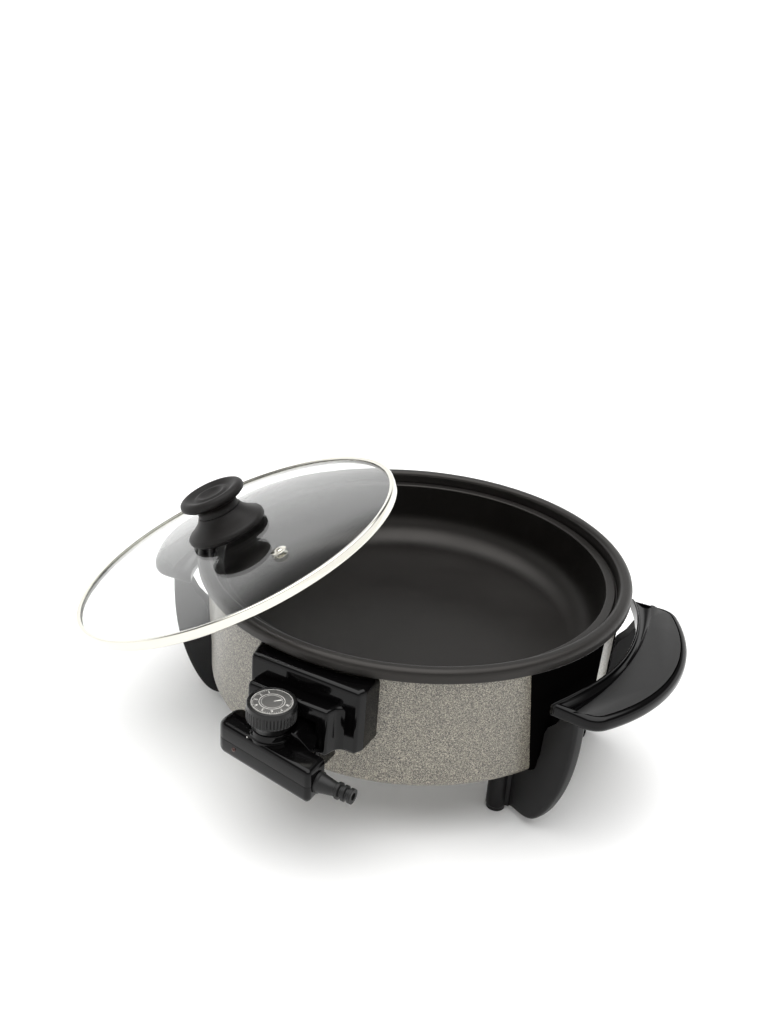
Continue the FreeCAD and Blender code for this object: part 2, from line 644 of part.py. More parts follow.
lowcut = cut("controller_base", low, [
    cyl("cb_probe", S("probe_radius"), 16, (SX, -160, PZ), "-y"),
    cyl("cb_sleevel", 4.1, 17.5, (SX - S("pin_offset"), -166.2, EZ + 1.0), "-y"),
    cyl("cb_sleever", 4.1, 17.5, (SX + S("pin_offset"), -166.2, EZ + 1.0), "-y"),
    cyl("cb_pinl", 3.2, 10, (SX - S("pin_offset"), -160, EZ), "-y"),
    cyl("cb_pinr", 3.2, 10, (SX + S("pin_offset"), -160, EZ), "-y"),
    cyl("cb_cord", 5.1, 12, (36, -206.8, 88.5), "x"),
    cyl("cb_lens", 1.75, 12, (-20, -201, 86), "-y")]
    + [cyl("cb_sh%d" % i, 2.6, 1.6, (x, y, ZL)) for i, (x, y) in enumerate(SCREWS)]
    + [cyl("cb_ss%d" % i, 1.3, 4.0, (x, y, ZL + 1.0)) for i, (x, y) in enumerate(SCREWS)])
node("controller_base", lowcut)

up = body("controller_cover_raw")
s = sketch(up, "XY_Plane", "up_plan", ZS)
outline(s, PLAN)
p = pad(up, s, ZT - ZS)
s = sketch(up, "YZ_Plane", "neck_side", SX)
outline(s, [(-164, ZT - 4), (-164, ZN), (-186, ZN), (-207, ZT - 0.01), (-207, ZT - 4)])
p2 = pad(up, s, S("neck_half") * 2, mid=True, name="NeckRise")
f1 = round_edges(up, p2, 4.0, lambda e: is_vertical(e) and (mid_of(e).x < -33 or mid_of(e).x > 37))
f2 = round_edges(up, f1, 2.2, lambda e: (abs(mid_of(e).z - F("body_top")) < 0.02
                                         and (mid_of(e).x < -19 or mid_of(e).x > 27 or mid_of(e).y < -208)))
s = sketch(up, "XY_Plane", "up_hollow", ZS)
outline(s, INNER)
doc.recompute()
v0 = f2.Shape.Volume
k1 = pocket(up, s, ZT - ZS - 2.2, rev=True)
lost(v0, k1, 1000)
s = sketch(up, "YZ_Plane", "neck_hollow", SX)
outline(s, [(-166.2, ZT - 5), (-166.2, ZN - 2.2), (-178, ZN - 2.2), (-183, ZT + 3.6), (-196, ZT - 1.0), (-196, ZT - 5)])
doc.recompute()
v1 = k1.Shape.Volume
k2 = pocket(up, s, (S("neck_half") - 2.2) * 2, mid=True, name="NeckHollow")
lost(v1, k2, 500)
DX, DY = S("dial_x"), S("dial_y")
# the round boss under the dial is moulded with the cover
cover = fuse("controller_cover_boss", [up, cyl("boss_o", 11.0, 8.0, (DX, DY, ZT - 2.0))])
node("controller_cover", cut("controller_cover", cover, [
    cyl("cc_dial", S("dial_collar") + 0.6, 20, (DX, DY, ZT + 6.0)),
    cyl("cc_spindle", S("spindle_radius") + S("spindle_gap"), 30, (DX, DY, 92)),
    cyl("cc_cord", 5.1, 12, (36, -206.8, 88.5), "x")]))

node("probe_rod", cyl("probe_c", S("probe_radius"), 100, (SX, -174, PZ), "y"))
for nm, sg in (("left", -1), ("right", 1)):
    x = SX + S("pin_offset") * sg
    node("contact_sleeve_" + nm, cut("contact_sleeve_" + nm, cyl("sleeve_o" + nm, 4.1, 17, (x, -166.5, EZ + 1.0), "-y"),
                                     [cyl("sleeve_i" + nm, 2.8, 14.5, (x, -166.4, EZ), "-y")]))
node("thermostat_frame", cut("thermostat_frame", box("tf_o", (-12, -200.5, 80.4), (27, 11, 3.2)),
                             [box("tf_i", (-3, -204, 82.0), (9, 16, 5))]))
node("bimetal_strip", box("bimetal_b", (-26, -198.5, 84.2), (40, 5, 0.8)))
node("contact_spring", box("spring_b", (-26, -198.5, 87.4), (36, 5, 0.5)))
node("contact_stack", cut("contact_stack", box("stack_b", (-33, -199.5, 80.4), (8, 8, 11)),
                          [box("stack_c", (-28, -198.6, 84.1), (8, 5.2, 1.0)), box("stack_d", (-28, -198.6, 87.3), (8, 5.2, 0.7))]))
node("terminal_block", cut("terminal_block", box("tb_b", (20, -209, 80.4), (14, 9, 8)),
                           [cyl("tb_h1", 1.6, 12, (23.5, -204.5, 82)), cyl("tb_h2", 1.6, 12, (30.5, -204.5, 82))]))
lens = doc.addObject("Part::Sphere", "lens_s")
lens.Radius = 1.7
lens.Placement = Placement(Vector(-20, -207.0, 86), Rotation())
node("pilot_lens", fuse("pilot_lens", [cyl("lens_c", 1.7, 4.2, (-20, -202.8, 86), "-y"), lens]))
node("pilot_lamp", cyl("lamp_c", 1.3, 9.0, (-20, -199.8 + 0.0, 86), "-y"))
NODES["pilot_lamp"].Height = 2.8

# strain relief on the right end of the controller
sr = body("strain_relief_b")
s = sketch(sr, "XY_Plane", "relief_profile")
RP = [(2.6, 0), (5.0, 0), (5.0, 3.2), (7.2, 3.6), (7.2, 5.2), (6.4, 6.0), (4.6, 15.5), (4.6, 17.2), (5.6, 17.8), (5.6, 19.6),
      (4.2, 20.2), (4.2, 21.6), (5.3, 22.2), (5.3, 24.0), (4.1, 24.6), (4.1, 26.0), (5.0, 26.6), (5.0, 29.0), (2.6, 29.0)]
outline(s, RP)
revolve(sr, s)
sr.Placement = Placement(Vector(41.0, -206.8, 88.5), Rotation(Vector(0, 0, 1), -90))
node("strain_relief", sr)

for i, (x, y) in enumerate(SCREWS):
    hd = cyl("csh%d" % i, 2.6, 1.6, (x, y, ZL - 0.0))
    shk = cyl("css%d" % i, 1.3, 4.0, (x, y, ZL + 1.0))
    node("controller_screw_%d" % (i + 1), fuse("controller_screw_%d" % (i + 1), [hd, shk]))

# ---------------------------------------------------------------- dial
kn = body("dial_knob_b")
s = sketch(kn, "XZ_Plane", "dial_profile")
DR, DT, DC = S("dial_radius"), S("dial_top"), S("dial_collar")
outline(s, [(3.02, ZT + 6.4), (10.2, ZT + 6.4), (DC, DT - 11.8), (DR - 0.6, DT - 11.4), (DR, DT - 10.6), (DR, DT - 1.4),
            (DR - 1.2, DT), (DR - 2.2, DT), (DR - 2.4, DT - 0.8), (0, DT - 0.8), (0, DT - 3.0), (3.02, DT - 3.0)])
rk = revolve(kn, s)
s = sketch(kn, "XY_Plane", "dial_flute", DT - 11.6)
ring_sketch(s, 0.75, DR + 0.25, 0)
doc.recompute()
v0 = rk.Shape.Volume
fl = pocket(kn, s, 10.6, rev=True, name="Flute")
lost(v0, fl, 0.5)
pat = kn.newObject("PartDesign::PolarPattern", "flutes")
pat.Originals = [fl]
pat.Axis = (s, ["N_Axis"])
pat.Angle = 360
pat.Occurrences = 44
kn.Tip = pat
kn.Placement = Placement(Vector(F("dial_x"), F("dial_y"), 0), Rotation())
doc.recompute()
pat.Axis = (plane_of(kn, "Z_Axis"), [""])
doc.recompute()
node("dial_knob", kn)
node("dial_plate", cyl("dial_plate_c", DR - 2.5, 0.9, (DX, DY, DT - 0.8)))
node("dial_spindle", cyl("spindle_c", S("spindle_radius"), DT - 3.0 - 88.4, (DX, DY, 88.4)))

# ---------------------------------------------------------------- lid, modelled about its own axis then leaned
LR, BH, GT, GR = S("lid_radius"), S("band_height"), S("glass_thick"), S("glass_rise")
n = Vector(-0.3923, -0.1801, 0.902)
n.normalize()
ex = Vector(0, 1, 0).cross(n)
ex.normalize()
ey = n.cross(ex)
m = FreeCAD.Matrix(ex.x, ey.x, n.x, 0, ex.y, ey.y, n.y, 0, ex.z, ey.z, n.z, 0, 0, 0, 0, 1)
top_centre = Vector(F("lid_cx"), F("lid_cy"), F("lid_cz"))
origin = top_centre - n * F("band_height")
LID = Placement(origin, Rotation(m))

gl = body("lid_glass_b")
s = sketch(gl, "XZ_Plane", "glass_profile")
ge = LR - 1.2
G0 = Q.of(1.9)
outline(s, [(3.4, G0 + GR), (ge, G0), (ge, G0 + GT), (3.4, G0 + GR + GT)],
        {0: (750.0, 1), 2: (750.0, -1)})
rg = revolve(gl, s)
va = math.radians(-28.0)
vx, vy = F("vent_radius") * math.cos(va), F("vent_radius") * math.sin(va)
s = sketch(gl, "XY_Plane", "vent_hole")
ring_sketch(s, 3.7, vx, vy)
doc.recompute()
v0 = rg.Shape.Volume
vh = pocket(gl, s, 40, rev=True)
lost(v0, vh, 50)
gl.Placement = LID
node("lid_glass", gl)

bd = body("lid_rim_band_b")
s = sketch(bd, "XZ_Plane", "band_profile")
outline(s, [(LR - 4.2, 0), (LR - 1.0, 0), (LR, 1.0), (LR, BH - 1.6), (LR - 1.4, BH), (LR - 3.6, BH - 0.6), (LR - 3.6, BH - 1.2),
            (LR - 1.5, BH - 1.5), (LR - 1.0, BH - 2.1), (LR - 1.0, 1.2), (LR - 1.4, 0.8), (LR - 4.2, 0.8)])
revolve(bd, s)
bd.Placement = LID
node("lid_rim_band", bd)


def glass_top(r):
    """Height of the glass's upper face at radius r."""
    rad = 750.0
    c = LR.v - 1.2
    half = (c - 3.4) / 2.0
    mid = Vector((c + 3.4) / 2.0, 1.9 + GT.v + GR.v / 2.0, 0)
    d = Vector(3.4 - c, GR.v, 0)
    up = Vector(-d.y, d.x, 0) * (1.0 / d.Length)
    hgt = math.sqrt(rad ** 2 - (d.Length / 2.0) ** 2)
    cc = mid + up * hgt
    return cc.y + math.sqrt(rad ** 2 - (r - cc.x) ** 2) if cc.y < mid.y else cc.y - math.sqrt(rad ** 2 - (r - cc.x) ** 2)


ve = body("vent_eyelet_b")
s = sketch(ve, "XZ_Plane", "eyelet_profile")
gt = glass_top(F("vent_radius"))
zb, zt2 = gt - GT.v, gt
outline(s, [(1.7, zb - 1.5), (5.4, zb - 1.5), (5.6, zb - 1.2), (3.3, zb - 0.9), (3.3, zt2 + 0.85), (5.6, zt2 + 0.9), (5.4, zt2 + 1.5),
            (4.4, zt2 + 2.0), (2.4, zt2 + 1.9), (1.7, zt2 + 1.2)])
revolve(ve, s)
ve.Placement = LID.multiply(Placement(Vector(vx, vy, 0), Rotation()))
node("vent_eyelet", ve)

g0 = glass_top(0.0) + 0.4
gs = glass_top(27.0) + 0.35
skt = body("knob_skirt_b")
s = sketch(skt, "XZ_Plane", "skirt_profile")
K = S("skirt_radius")
outline(s, [(3.0, g0 + 0.6), (6.0, g0 + 0.6), (7.0, g0 + 0.6), (8.5, g0 + 3.0), (24.0, gs + 2.6), (26.5, gs), (K - 1.6, gs), (K, gs + 1.6),
            (K, gs + 3.6), (K - 2.0, gs + 6.2), (19.0, gs + 13.6), (17.4, gs + 17.4), (12.0, gs + 17.4), (12.0, gs + 16.0), (3.0, gs + 16.0)],
        {8: (3.2, -1), 9: (16.0, -1)})
revolve(skt, s)
skt.Placement = LID
node("knob_skirt", skt)

kb = body("lid_knob_b")
s = sketch(kb, "XZ_Plane", "knob_profile")
KR = S("knob_radius")
zk = gs + 16.3
outline(s, [(0, zk), (11.7, zk), (11.7, zk + 1.4), (16.4, zk + 1.4), (15.6, zk + 5.0), (KR - 6.5, zk + 9.2), (KR - 1.8, zk + 10.4), (KR, zk + 13.2),
            (KR - 3.0, zk + 17.0), (KR - 6.5, zk + 17.2), (KR - 12.0, zk + 14.6), (0, zk + 13.8)],
        {4: (9.0, 1), 6: (3.4, -1), 7: (4.2, -1), 9: (14.0, 1)})
rk = revolve(kb, s)
s = sketch(kb, "XY_Plane", "knob_bore")
ring_sketch(s, 2.5, 0, 0)
doc.recompute()
v0 = rk.Shape.Volume
kh = pocket(kb, s, zk + 9.0, rev=True)
lost(v0, kh, 50)
kb.Placement = LID
node("lid_knob", kb)

gb = glass_top(0.0) - GT.v
wash = cut("knob_washer", cyl("washer_o", 9.0, 1.2, (0, 0, gb - 1.4)), [cyl("washer_i", 2.9, 6, (0, 0, gb - 4))])
wash.Placement = LID
node("knob_washer", wash)
scr = fuse("knob_screw", [cyl("ks_head", 5.2, 2.6, (0, 0, gb - 4.0)), cyl("ks_shank", 2.4, zk + 8.5 - gb + 2.0, (0, 0, gb - 2.0))])
scr.Placement = LID
node("knob_screw", scr)

# ---------------------------------------------------------------- check and write
doc.recompute()
bad = []
for o in doc.Objects:
    if "Invalid" in o.State or "Error" in o.State:
        bad.append(o.Name + " " + str(o.State))
for name, o in NODES.items():
    sh = o.Shape
    if sh.isNull() or not sh.isValid() or sh.Volume <= 0:
        bad.append("shape " + name)
    elif len(sh.Solids) != 1:
        bad.append("%s has %d solids" % (name, len(sh.Solids)))
for b in bad:
    print("BAD", b)
if bad:
    raise RuntimeError("failed objects: %d" % len(bad))
os.makedirs("parts", exist_ok=True)
for name, o in NODES.items():
    o.Shape.exportStep("parts/%s.step" % name)
print("nodes", len(NODES))
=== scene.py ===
import bpy
import bmesh
import math
from mathutils import Vector, Matrix


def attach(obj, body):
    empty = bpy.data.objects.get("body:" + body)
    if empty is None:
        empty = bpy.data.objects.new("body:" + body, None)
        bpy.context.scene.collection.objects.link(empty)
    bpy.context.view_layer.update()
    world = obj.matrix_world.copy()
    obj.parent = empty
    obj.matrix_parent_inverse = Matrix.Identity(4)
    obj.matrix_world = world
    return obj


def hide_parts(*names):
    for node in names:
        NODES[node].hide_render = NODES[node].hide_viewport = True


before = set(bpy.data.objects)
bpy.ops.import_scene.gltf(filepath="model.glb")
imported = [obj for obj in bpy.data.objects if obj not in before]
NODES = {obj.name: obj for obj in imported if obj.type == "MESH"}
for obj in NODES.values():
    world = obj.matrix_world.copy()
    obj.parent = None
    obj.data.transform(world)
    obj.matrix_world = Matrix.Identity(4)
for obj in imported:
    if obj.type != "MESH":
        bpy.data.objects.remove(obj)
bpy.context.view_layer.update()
SC = bpy.context.scene
SC.view_settings.view_transform = "Standard"
SC.view_settings.look = "None"
SC.view_settings.exposure = 0.0
SC.view_settings.gamma = 1.0
MM = 0.001
PI = math.pi


# ------------------------------------------------------------------ materials
class Mat:
    def __init__(self, name, color, rough, metallic=0.0, **inputs):
        self.m = bpy.data.materials.new(name)
        self.m.use_nodes = True
        self.nt = self.m.node_tree
        self.nt.nodes.clear()
        out = self.nt.nodes.new("ShaderNodeOutputMaterial")
        self.b = self.nt.nodes.new("ShaderNodeBsdfPrincipled")
        self.nt.links.new(self.b.outputs[0], out.inputs[0])
        self.b.inputs["Base Color"].default_value = (*color, 1.0)
        self.b.inputs["Roughness"].default_value = rough
        self.b.inputs["Metallic"].default_value = metallic
        for k, v in inputs.items():
            self.b.inputs[k.replace("_", " ")].default_value = v
        tc = self.nt.nodes.new("ShaderNodeTexCoord")
        self.obj = tc.outputs["Object"]
        self.normal = None

    def noise(self, scale, detail=2.0, rough=0.5, stretch=None, vec=None, dist=0.0):
        v = vec or self.obj
        if stretch is not None:
            mp = self.nt.nodes.new("ShaderNodeMapping")
            mp.inputs["Scale"].default_value = stretch
            self.nt.links.new(v, mp.inputs["Vector"])
            v = mp.outputs[0]
        n = self.nt.nodes.new("ShaderNodeTexNoise")
        n.inputs["Scale"].default_value = scale
        n.inputs["Detail"].default_value = detail
        n.inputs["Roughness"].default_value = rough
        n.inputs["Distortion"].default_value = dist
        self.nt.links.new(v, n.inputs["Vector"])
        return n.outputs["Fac"]

    def voronoi(self, scale, feature="F1", rand=1.0):
        n = self.nt.nodes.new("ShaderNodeTexVoronoi")
        n.feature = feature
        n.inputs["Scale"].default_value = scale
        n.inputs["Randomness"].default_value = rand
        self.nt.links.new(self.obj, n.inputs["Vector"])
        return n.outputs["Distance"]

    def ramp(self, fac, stops, interp="LINEAR"):
        r = self.nt.nodes.new("ShaderNodeValToRGB")
        r.color_ramp.interpolation = interp
        el = r.color_ramp.elements
        while len(el) < len(stops):
            el.new(0.5)
        for e, (p, c) in zip(el, stops):
            e.position = p
            e.color = (*c, 1.0) if len(c) == 3 else c
        self.nt.links.new(fac, r.inputs[0])
        return r.outputs[0]

    def math(self, op, a, b=None, c=None):
        n = self.nt.nodes.new("ShaderNodeMath")
        n.operation = op
        for i, v in enumerate((a, b, c)):
            if v is None:
                continue
            if isinstance(v, (int, float)):
                n.inputs[i].default_value = v
            else:
                self.nt.links.new(v, n.inputs[i])
        return n.outputs[0]

    def range(self, fac, lo, hi, a=0.0, b=1.0):
        n = self.nt.nodes.new("ShaderNodeMapRange")
        n.inputs["From Min"].default_value = a
        n.inputs["From Max"].default_value = b
        n.inputs["To Min"].default_value = lo
        n.inputs["To Max"].default_value = hi
        self.nt.links.new(fac, n.inputs["Value"])
        return n.outputs[0]

    def mix(self, fac, a, b, blend="MIX"):
        n = self.nt.nodes.new("ShaderNodeMix")
        n.data_type = "RGBA"
        n.blend_type = blend
        for sock, v in ((n.inputs[0], fac), (n.inputs[6], a), (n.inputs[7], b)):
            if isinstance(v, (int, float)):
                sock.default_value = v
            elif isinstance(v, tuple):
                sock.default_value = (*v, 1.0)
            else:
                self.nt.links.new(v, sock)
        return n.outputs[2]

    def set(self, name, v):
        self.nt.links.new(v, self.b.inputs[name])
        return self

    def bump(self, height, strength, distance):
        n = self.nt.nodes.new("ShaderNodeBump")
        n.inputs["Strength"].default_value = strength
        n.inputs["Distance"].default_value = distance
        self.nt.links.new(height, n.inputs["Height"])
        if self.normal is not None:
            self.nt.links.new(self.normal, n.inputs["Normal"])
        self.normal = n.outputs[0]
        self.nt.links.new(self.normal, self.b.inputs["Normal"])
        return self


def nonstick():
    m = Mat("nonstick_coating", (0.004, 0.0036, 0.0033), 0.42, Specular_IOR_Level=0.36)
    m.b.inputs["Specular Tint"].default_value = (1.0, 0.95, 0.91, 1.0)
    cloud = m.noise(14, 3, 0.6)
    grain = m.noise(2600, 2, 0.6)
    m.set("Base Color", m.mix(m.math("MULTIPLY", grain, 0.6), (0.0016, 0.0013, 0.0011), (0.0068, 0.0058, 0.0050)))
    m.set("Roughness", m.math("ADD", m.range(cloud, 0.36, 0.46, 0.3, 0.7), m.range(grain, -0.03, 0.03)))
    m.bump(grain, 0.16, 0.00012)
    m.bump(m.noise(620, 2, 0.5), 0.10, 0.0003)
    return m.m


def speckle():
    m = Mat("speckled_enamel", (0.3, 0.28, 0.24), 0.42, Specular_IOR_Level=0.5, Coat_Weight=0.5, Coat_Roughness=0.22)
    fleck = m.noise(1500, 3, 0.60)
    worm = m.noise(1050, 2, 0.5, dist=1.2)
    both = m.math("ADD", m.math("MULTIPLY", fleck, 0.55), m.math("MULTIPLY", worm, 0.45))
    col = m.ramp(both, [(0.41, (0.010, 0.009, 0.008)), (0.465, (0.066, 0.059, 0.046)), (0.52, (0.165, 0.149, 0.115)),
                        (0.585, (0.34, 0.312, 0.25))])
    patch = m.noise(22, 3, 0.6)
    m.set("Base Color", m.mix(m.range(patch, 0.0, 0.25, 0.35, 0.7), col, (0.105, 0.096, 0.076)))
    m.set("Roughness", m.range(fleck, 0.34, 0.58, 0.3, 0.7))
    m.bump(both, 0.30, 0.00035)
    return m.m


def plastic(name, color, rough, spread, grain=1500, bump=0.05, spec=0.5, smear=26, coat=0.0):
    m = Mat(name, color, rough, Specular_IOR_Level=spec, Coat_Weight=coat, Coat_Roughness=0.06)
    g = m.noise(grain, 2, 0.6)
    s = m.noise(smear, 4, 0.65)
    lo = tuple(c * 0.75 for c in color)
    hi = tuple(c * 1.35 for c in color)
    m.set("Base Color", m.mix(g, lo, hi))
    m.set("Roughness", m.math("ADD", m.range(s, rough - spread, rough + spread, 0.3, 0.7), m.range(g, -0.02, 0.02)))
    m.bump(g, bump, 0.0001)
    return m.m


def metal(name, color, rough, brush=None, grain=900, spread=0.08, bump=0.06, tint=0.85):
    m = Mat(name, color, rough, 1.0)
    g = m.noise(grain, 3, 0.6, stretch=brush)
    s = m.noise(35, 3, 0.6)
    m.set("Base Color", m.mix(g, tuple(c * tint for c in color), color))
    m.set("Roughness", m.math("ADD", m.range(s, max(rough - spread, 0.02), rough + spread, 0.3, 0.7),
                              m.range(g, -0.04, 0.04)))
    m.bump(g, bump, 0.00008)
    return m.m


def glass():
    m = Mat("clear_glass", (0.988, 0.998, 0.993), 0.0, IOR=1.43, Transmission_Weight=1.0)
    film = m.noise(30, 4, 0.6)
    m.set("Roughness", m.range(film, 0.0, 0.012, 0.5, 0.8))
    return m.m


MATS = {
    "nonstick": nonstick(),
    "speckle": speckle(),
    "gloss": plastic("gloss_black_moulding", (0.0014, 0.0013, 0.0014), 0.09, 0.03, 1300, 0.02, 0.18),
    "satin": plastic("satin_black_moulding", (0.0055, 0.0053, 0.0053), 0.46, 0.05, 2300, 0.12, 0.38),
    "matt": plastic("leg_black_moulding", (0.0042, 0.0039, 0.0041), 0.40, 0.06, 2100, 0.14, 0.19),
    "knob": plastic("soft_black_moulding", (0.0046, 0.0036, 0.0033), 0.50, 0.05, 2500, 0.16, 0.22),
    "dial": plastic("ribbed_black_moulding", (0.0026, 0.0025, 0.0025), 0.28, 0.05, 1900, 0.08, 0.30),
    # painted shade: this plate black has no specular at all, so it renders flat black like the shade under the pan's
    # lip
    "plate": plastic("plate_black_painted_shade", (0.0013, 0.0012, 0.0012), 0.45, 0.05, 1500, 0.05, 0.0),
    "ink": plastic("silver_ink", (0.62, 0.61, 0.58), 0.38, 0.05, 1900, 0.05, 0.5),
    "print": metal("dark_satin_disc", (0.20, 0.197, 0.19), 0.42, (1, 7, 1), 700, 0.06, 0.08, 0.6),
    "rubber": plastic("black_rubber", (0.0050, 0.0050, 0.0050), 0.46, 0.06, 1700, 0.2, 0.3),
    "white": plastic("pale_print", (0.60, 0.59, 0.56), 0.45, 0.05, 1900, 0.05, 0.4),
    "ceramic": plastic("white_ceramic", (0.62, 0.59, 0.52), 0.55, 0.06, 900, 0.15, 0.4),
    "lens": plastic("smoked_lens", (0.030, 0.008, 0.006), 0.10, 0.03, 900, 0.02, 0.4),
    "steel": metal("zinc_steel", (0.60, 0.59, 0.56), 0.30, (1, 1, 6)),
    "sheath": metal("dark_sheath", (0.16, 0.14, 0.12), 0.45),
    "alu": metal("mill_aluminium", (0.72, 0.72, 0.72), 0.36, (1, 8, 1)),
    "brass": metal("bright_brass", (0.72, 0.52, 0.24), 0.28),
    "chrome": metal("polished_band", (0.68, 0.665, 0.605), 0.06, None, 500, 0.03, 0.02, 0.96),
    "eyelet": metal("polished_eyelet", (0.62, 0.60, 0.54), 0.16, None, 700, 0.04, 0.03, 0.95),
    "glass": glass(),
}


# ------------------------------------------------------------------ mesh helpers
def finish_mesh(name, bm, material, body, angle=32.0, replaces=(), matrix=None, extra=(), slot=None):
    me = bpy.data.meshes.new(name)
    bm.normal_update()
    bm.to_mesh(me)
    bm.free()
    if matrix is not None:
        me.transform(matrix)
    ob = bpy.data.objects.new(name, me)
    SC.collection.objects.link(ob)
    for mk in (material,) + tuple(extra):
        me.materials.append(MATS[mk])
    shade(ob, angle)
    if body:
        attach(ob, body)
    if replaces:
        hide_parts(*replaces)
    return ob


def shade(ob, angle=32.0):
    me = ob.data
    me.polygons.foreach_set("use_smooth", [True] * len(me.polygons))
    me.set_sharp_from_angle(angle=math.radians(angle))
    me.update()


def fillet(pts, closed=True, step=9.0):
    """Polyline with rounded corners. A point is (x, y) or (x, y, radius)."""
    out = []
    n = len(pts)
    for i, p in enumerate(pts):
        r = p[2] if len(p) > 2 else 0.0
        b = Vector(p[:2])
        if r <= 0 or (not closed and i in (0, n - 1)):
            out.append(b)
            continue
        a, c = Vector(pts[i - 1][:2]), Vector(pts[(i + 1) % n][:2])
        u, v = a - b, c - b
        lu, lv = u.length, v.length
        u, v = u / lu, v / lv
        ang = math.acos(max(-1.0, min(1.0, u.dot(v))))
        if ang > PI - 0.02 or ang < 0.02:
            out.append(b)
            continue
        d = min(r / math.tan(ang / 2), 0.48 * lu, 0.48 * lv)
        rr = d * math.tan(ang / 2)
        ctr = b + (u + v).normalized() * (rr / math.sin(ang / 2))
        p0, p1 = b + u * d - ctr, b + v * d - ctr
        a0 = math.atan2(p0.y, p0.x)
        da = math.atan2(p0.x * p1.y - p0.y * p1.x, p0.dot(p1))
        k = max(2, int(math.ceil(abs(math.degrees(da)) / step)))
        for j in range(k + 1):
            t = a0 + da * j / k
            out.append(ctr + Vector((math.cos(t), math.sin(t))) * rr)
    return out


def spline(pts, per=6):
    """Smooth curve through points."""
    P = [Vector(p) for p in pts]
    P = [P[0] * 2 - P[1]] + P + [P[-1] * 2 - P[-2]]
    out = []
    for i in range(1, len(P) - 2):
        a, b, c, d = P[i - 1], P[i], P[i + 1], P[i + 2]
        for j in range(per):
            t = j / per
            out.append(0.5 * ((2 * b) + (c - a) * t + (2 * a - 5 * b + 4 * c - d) * t * t
                              + (3 * b - a - 3 * c + d) * t ** 3))
    out.append(P[-2])
    return out


def lathe_bm(profile, seg=192, closed=True, mod=None, thetas=None, skip=None, cx=0.0, cy=0.0):
    """Revolves (r, z) points in mm about a vertical axis."""
    bm = bmesh.new()
    th = thetas or [2 * PI * k / seg for k in range(seg)]
    n = len(profile)
    cols = []
    poles = {}
    for k, t in enumerate(th):
        col = []
        for i, (r, z) in enumerate(profile):
            if r < 1e-6:
                if i not in poles:
                    poles[i] = bm.verts.new(((cx) * MM, (cy) * MM, z * MM))
                col.append(poles[i])
            else:
                rr = r + (mod(t, i, r, z) if mod else 0.0)
                col.append(bm.verts.new(((cx + rr * math.cos(t)) * MM, (cy + rr * math.sin(t)) * MM, z * MM)))
        cols.append(col)
    last = n if closed else n - 1
    for k in range(len(th)):
        A, B = cols[k], cols[(k + 1) % len(th)]
        for i in range(last):
            j = (i + 1) % n
            q = []
            for v in (A[i], B[i], B[j], A[j]):
                if v not in q:
                    q.append(v)
            if len(q) < 3:
                continue
            if skip and skip(k, i):
                continue
            try:
                bm.faces.new(q)
            except ValueError:
                pass
    bmesh.ops.recalc_face_normals(bm, faces=bm.faces)
    return bm


def lathe(name, profile, material, body, **kw):
    opts = {k: kw.pop(k) for k in ("seg", "closed", "mod", "thetas", "skip", "cx", "cy") if k in kw}
    return finish_mesh(name, lathe_bm(profile, **opts), material, body, **kw)


def prism_bm(outline, z0, z1):
    """Upright prism over an outline in mm, with its top and bottom as single faces."""
    bm = bmesh.new()
    lo = [bm.verts.new((p[0] * MM, p[1] * MM, z0 * MM)) for p in outline]
    hi = [bm.verts.new((p[0] * MM, p[1] * MM, z1 * MM)) for p in outline]
    n = len(outline)
    for i in range(n):
        bm.faces.new((lo[i], lo[(i + 1) % n], hi[(i + 1) % n], hi[i]))
    bm.faces.new(hi)
    bm.faces.new(list(reversed(lo)))
    bmesh.ops.recalc_face_normals(bm, faces=bm.faces)
    return bm


def inset(poly, d):
    """Moves every edge of a counter-clockwise polygon inward by d; each corner keeps its centre."""
    n = len(poly)
    lines = []
    for i in range(n):
        a, b = Vector(poly[i][:2]), Vector(poly[(i + 1) % n][:2])
        t = (b - a).normalized()
        lines.append((a + Vector((-t.y, t.x)) * d, t))
    out = []
    for i in range(n):
        (p, t), (q, u) = lines[i - 1], lines[i]
        c = t.x * u.y - t.y * u.x
        if abs(c) < 1e-6:
            v = q
        else:
            w = q - p
            v = p + t * ((w.x * u.y - w.y * u.x) / c)
        r = poly[i][2] if len(poly[i]) > 2 else 0.3
        out.append((v.x, v.y, max(r - d, 0.06) if c > 0 else r + d))
    return out


def block_bm(poly, z0, z1, rb, rt, warp=None, n=5, step=8.0):
    """Upright block over a polygon with rounded corners and rounded bottom and top edges."""
    bm = bmesh.new()
    rows = []
    for k in range(n + 1):
        t = (PI / 2) * k / n
        rows.append((rb * (1 - math.sin(t)), z0 + rb * (1 - math.cos(t))))
    for k in range(n + 1):
        t = (PI / 2) * k / n
        rows.append((rt * (1 - math.cos(t)), z1 - rt * (1 - math.sin(t))))
    rings = []
    for d, z in rows:
        ring = []
        for p in fillet(inset(poly, d), step=step):
            q = Vector((p.x, p.y, z))
            if warp:
                q = warp(q)
            ring.append(bm.verts.new(q * MM))
        rings.append(ring)
    m = len(rings[0])
    for a, b in zip(rings, rings[1:]):
        for i in range(m):
            bm.faces.new((a[i], a[(i + 1) % m], b[(i + 1) % m], b[i]))
    bm.faces.new(rings[-1])
    bm.faces.new(list(reversed(rings[0])))
    bmesh.ops.recalc_face_normals(bm, faces=bm.faces)
    return bm


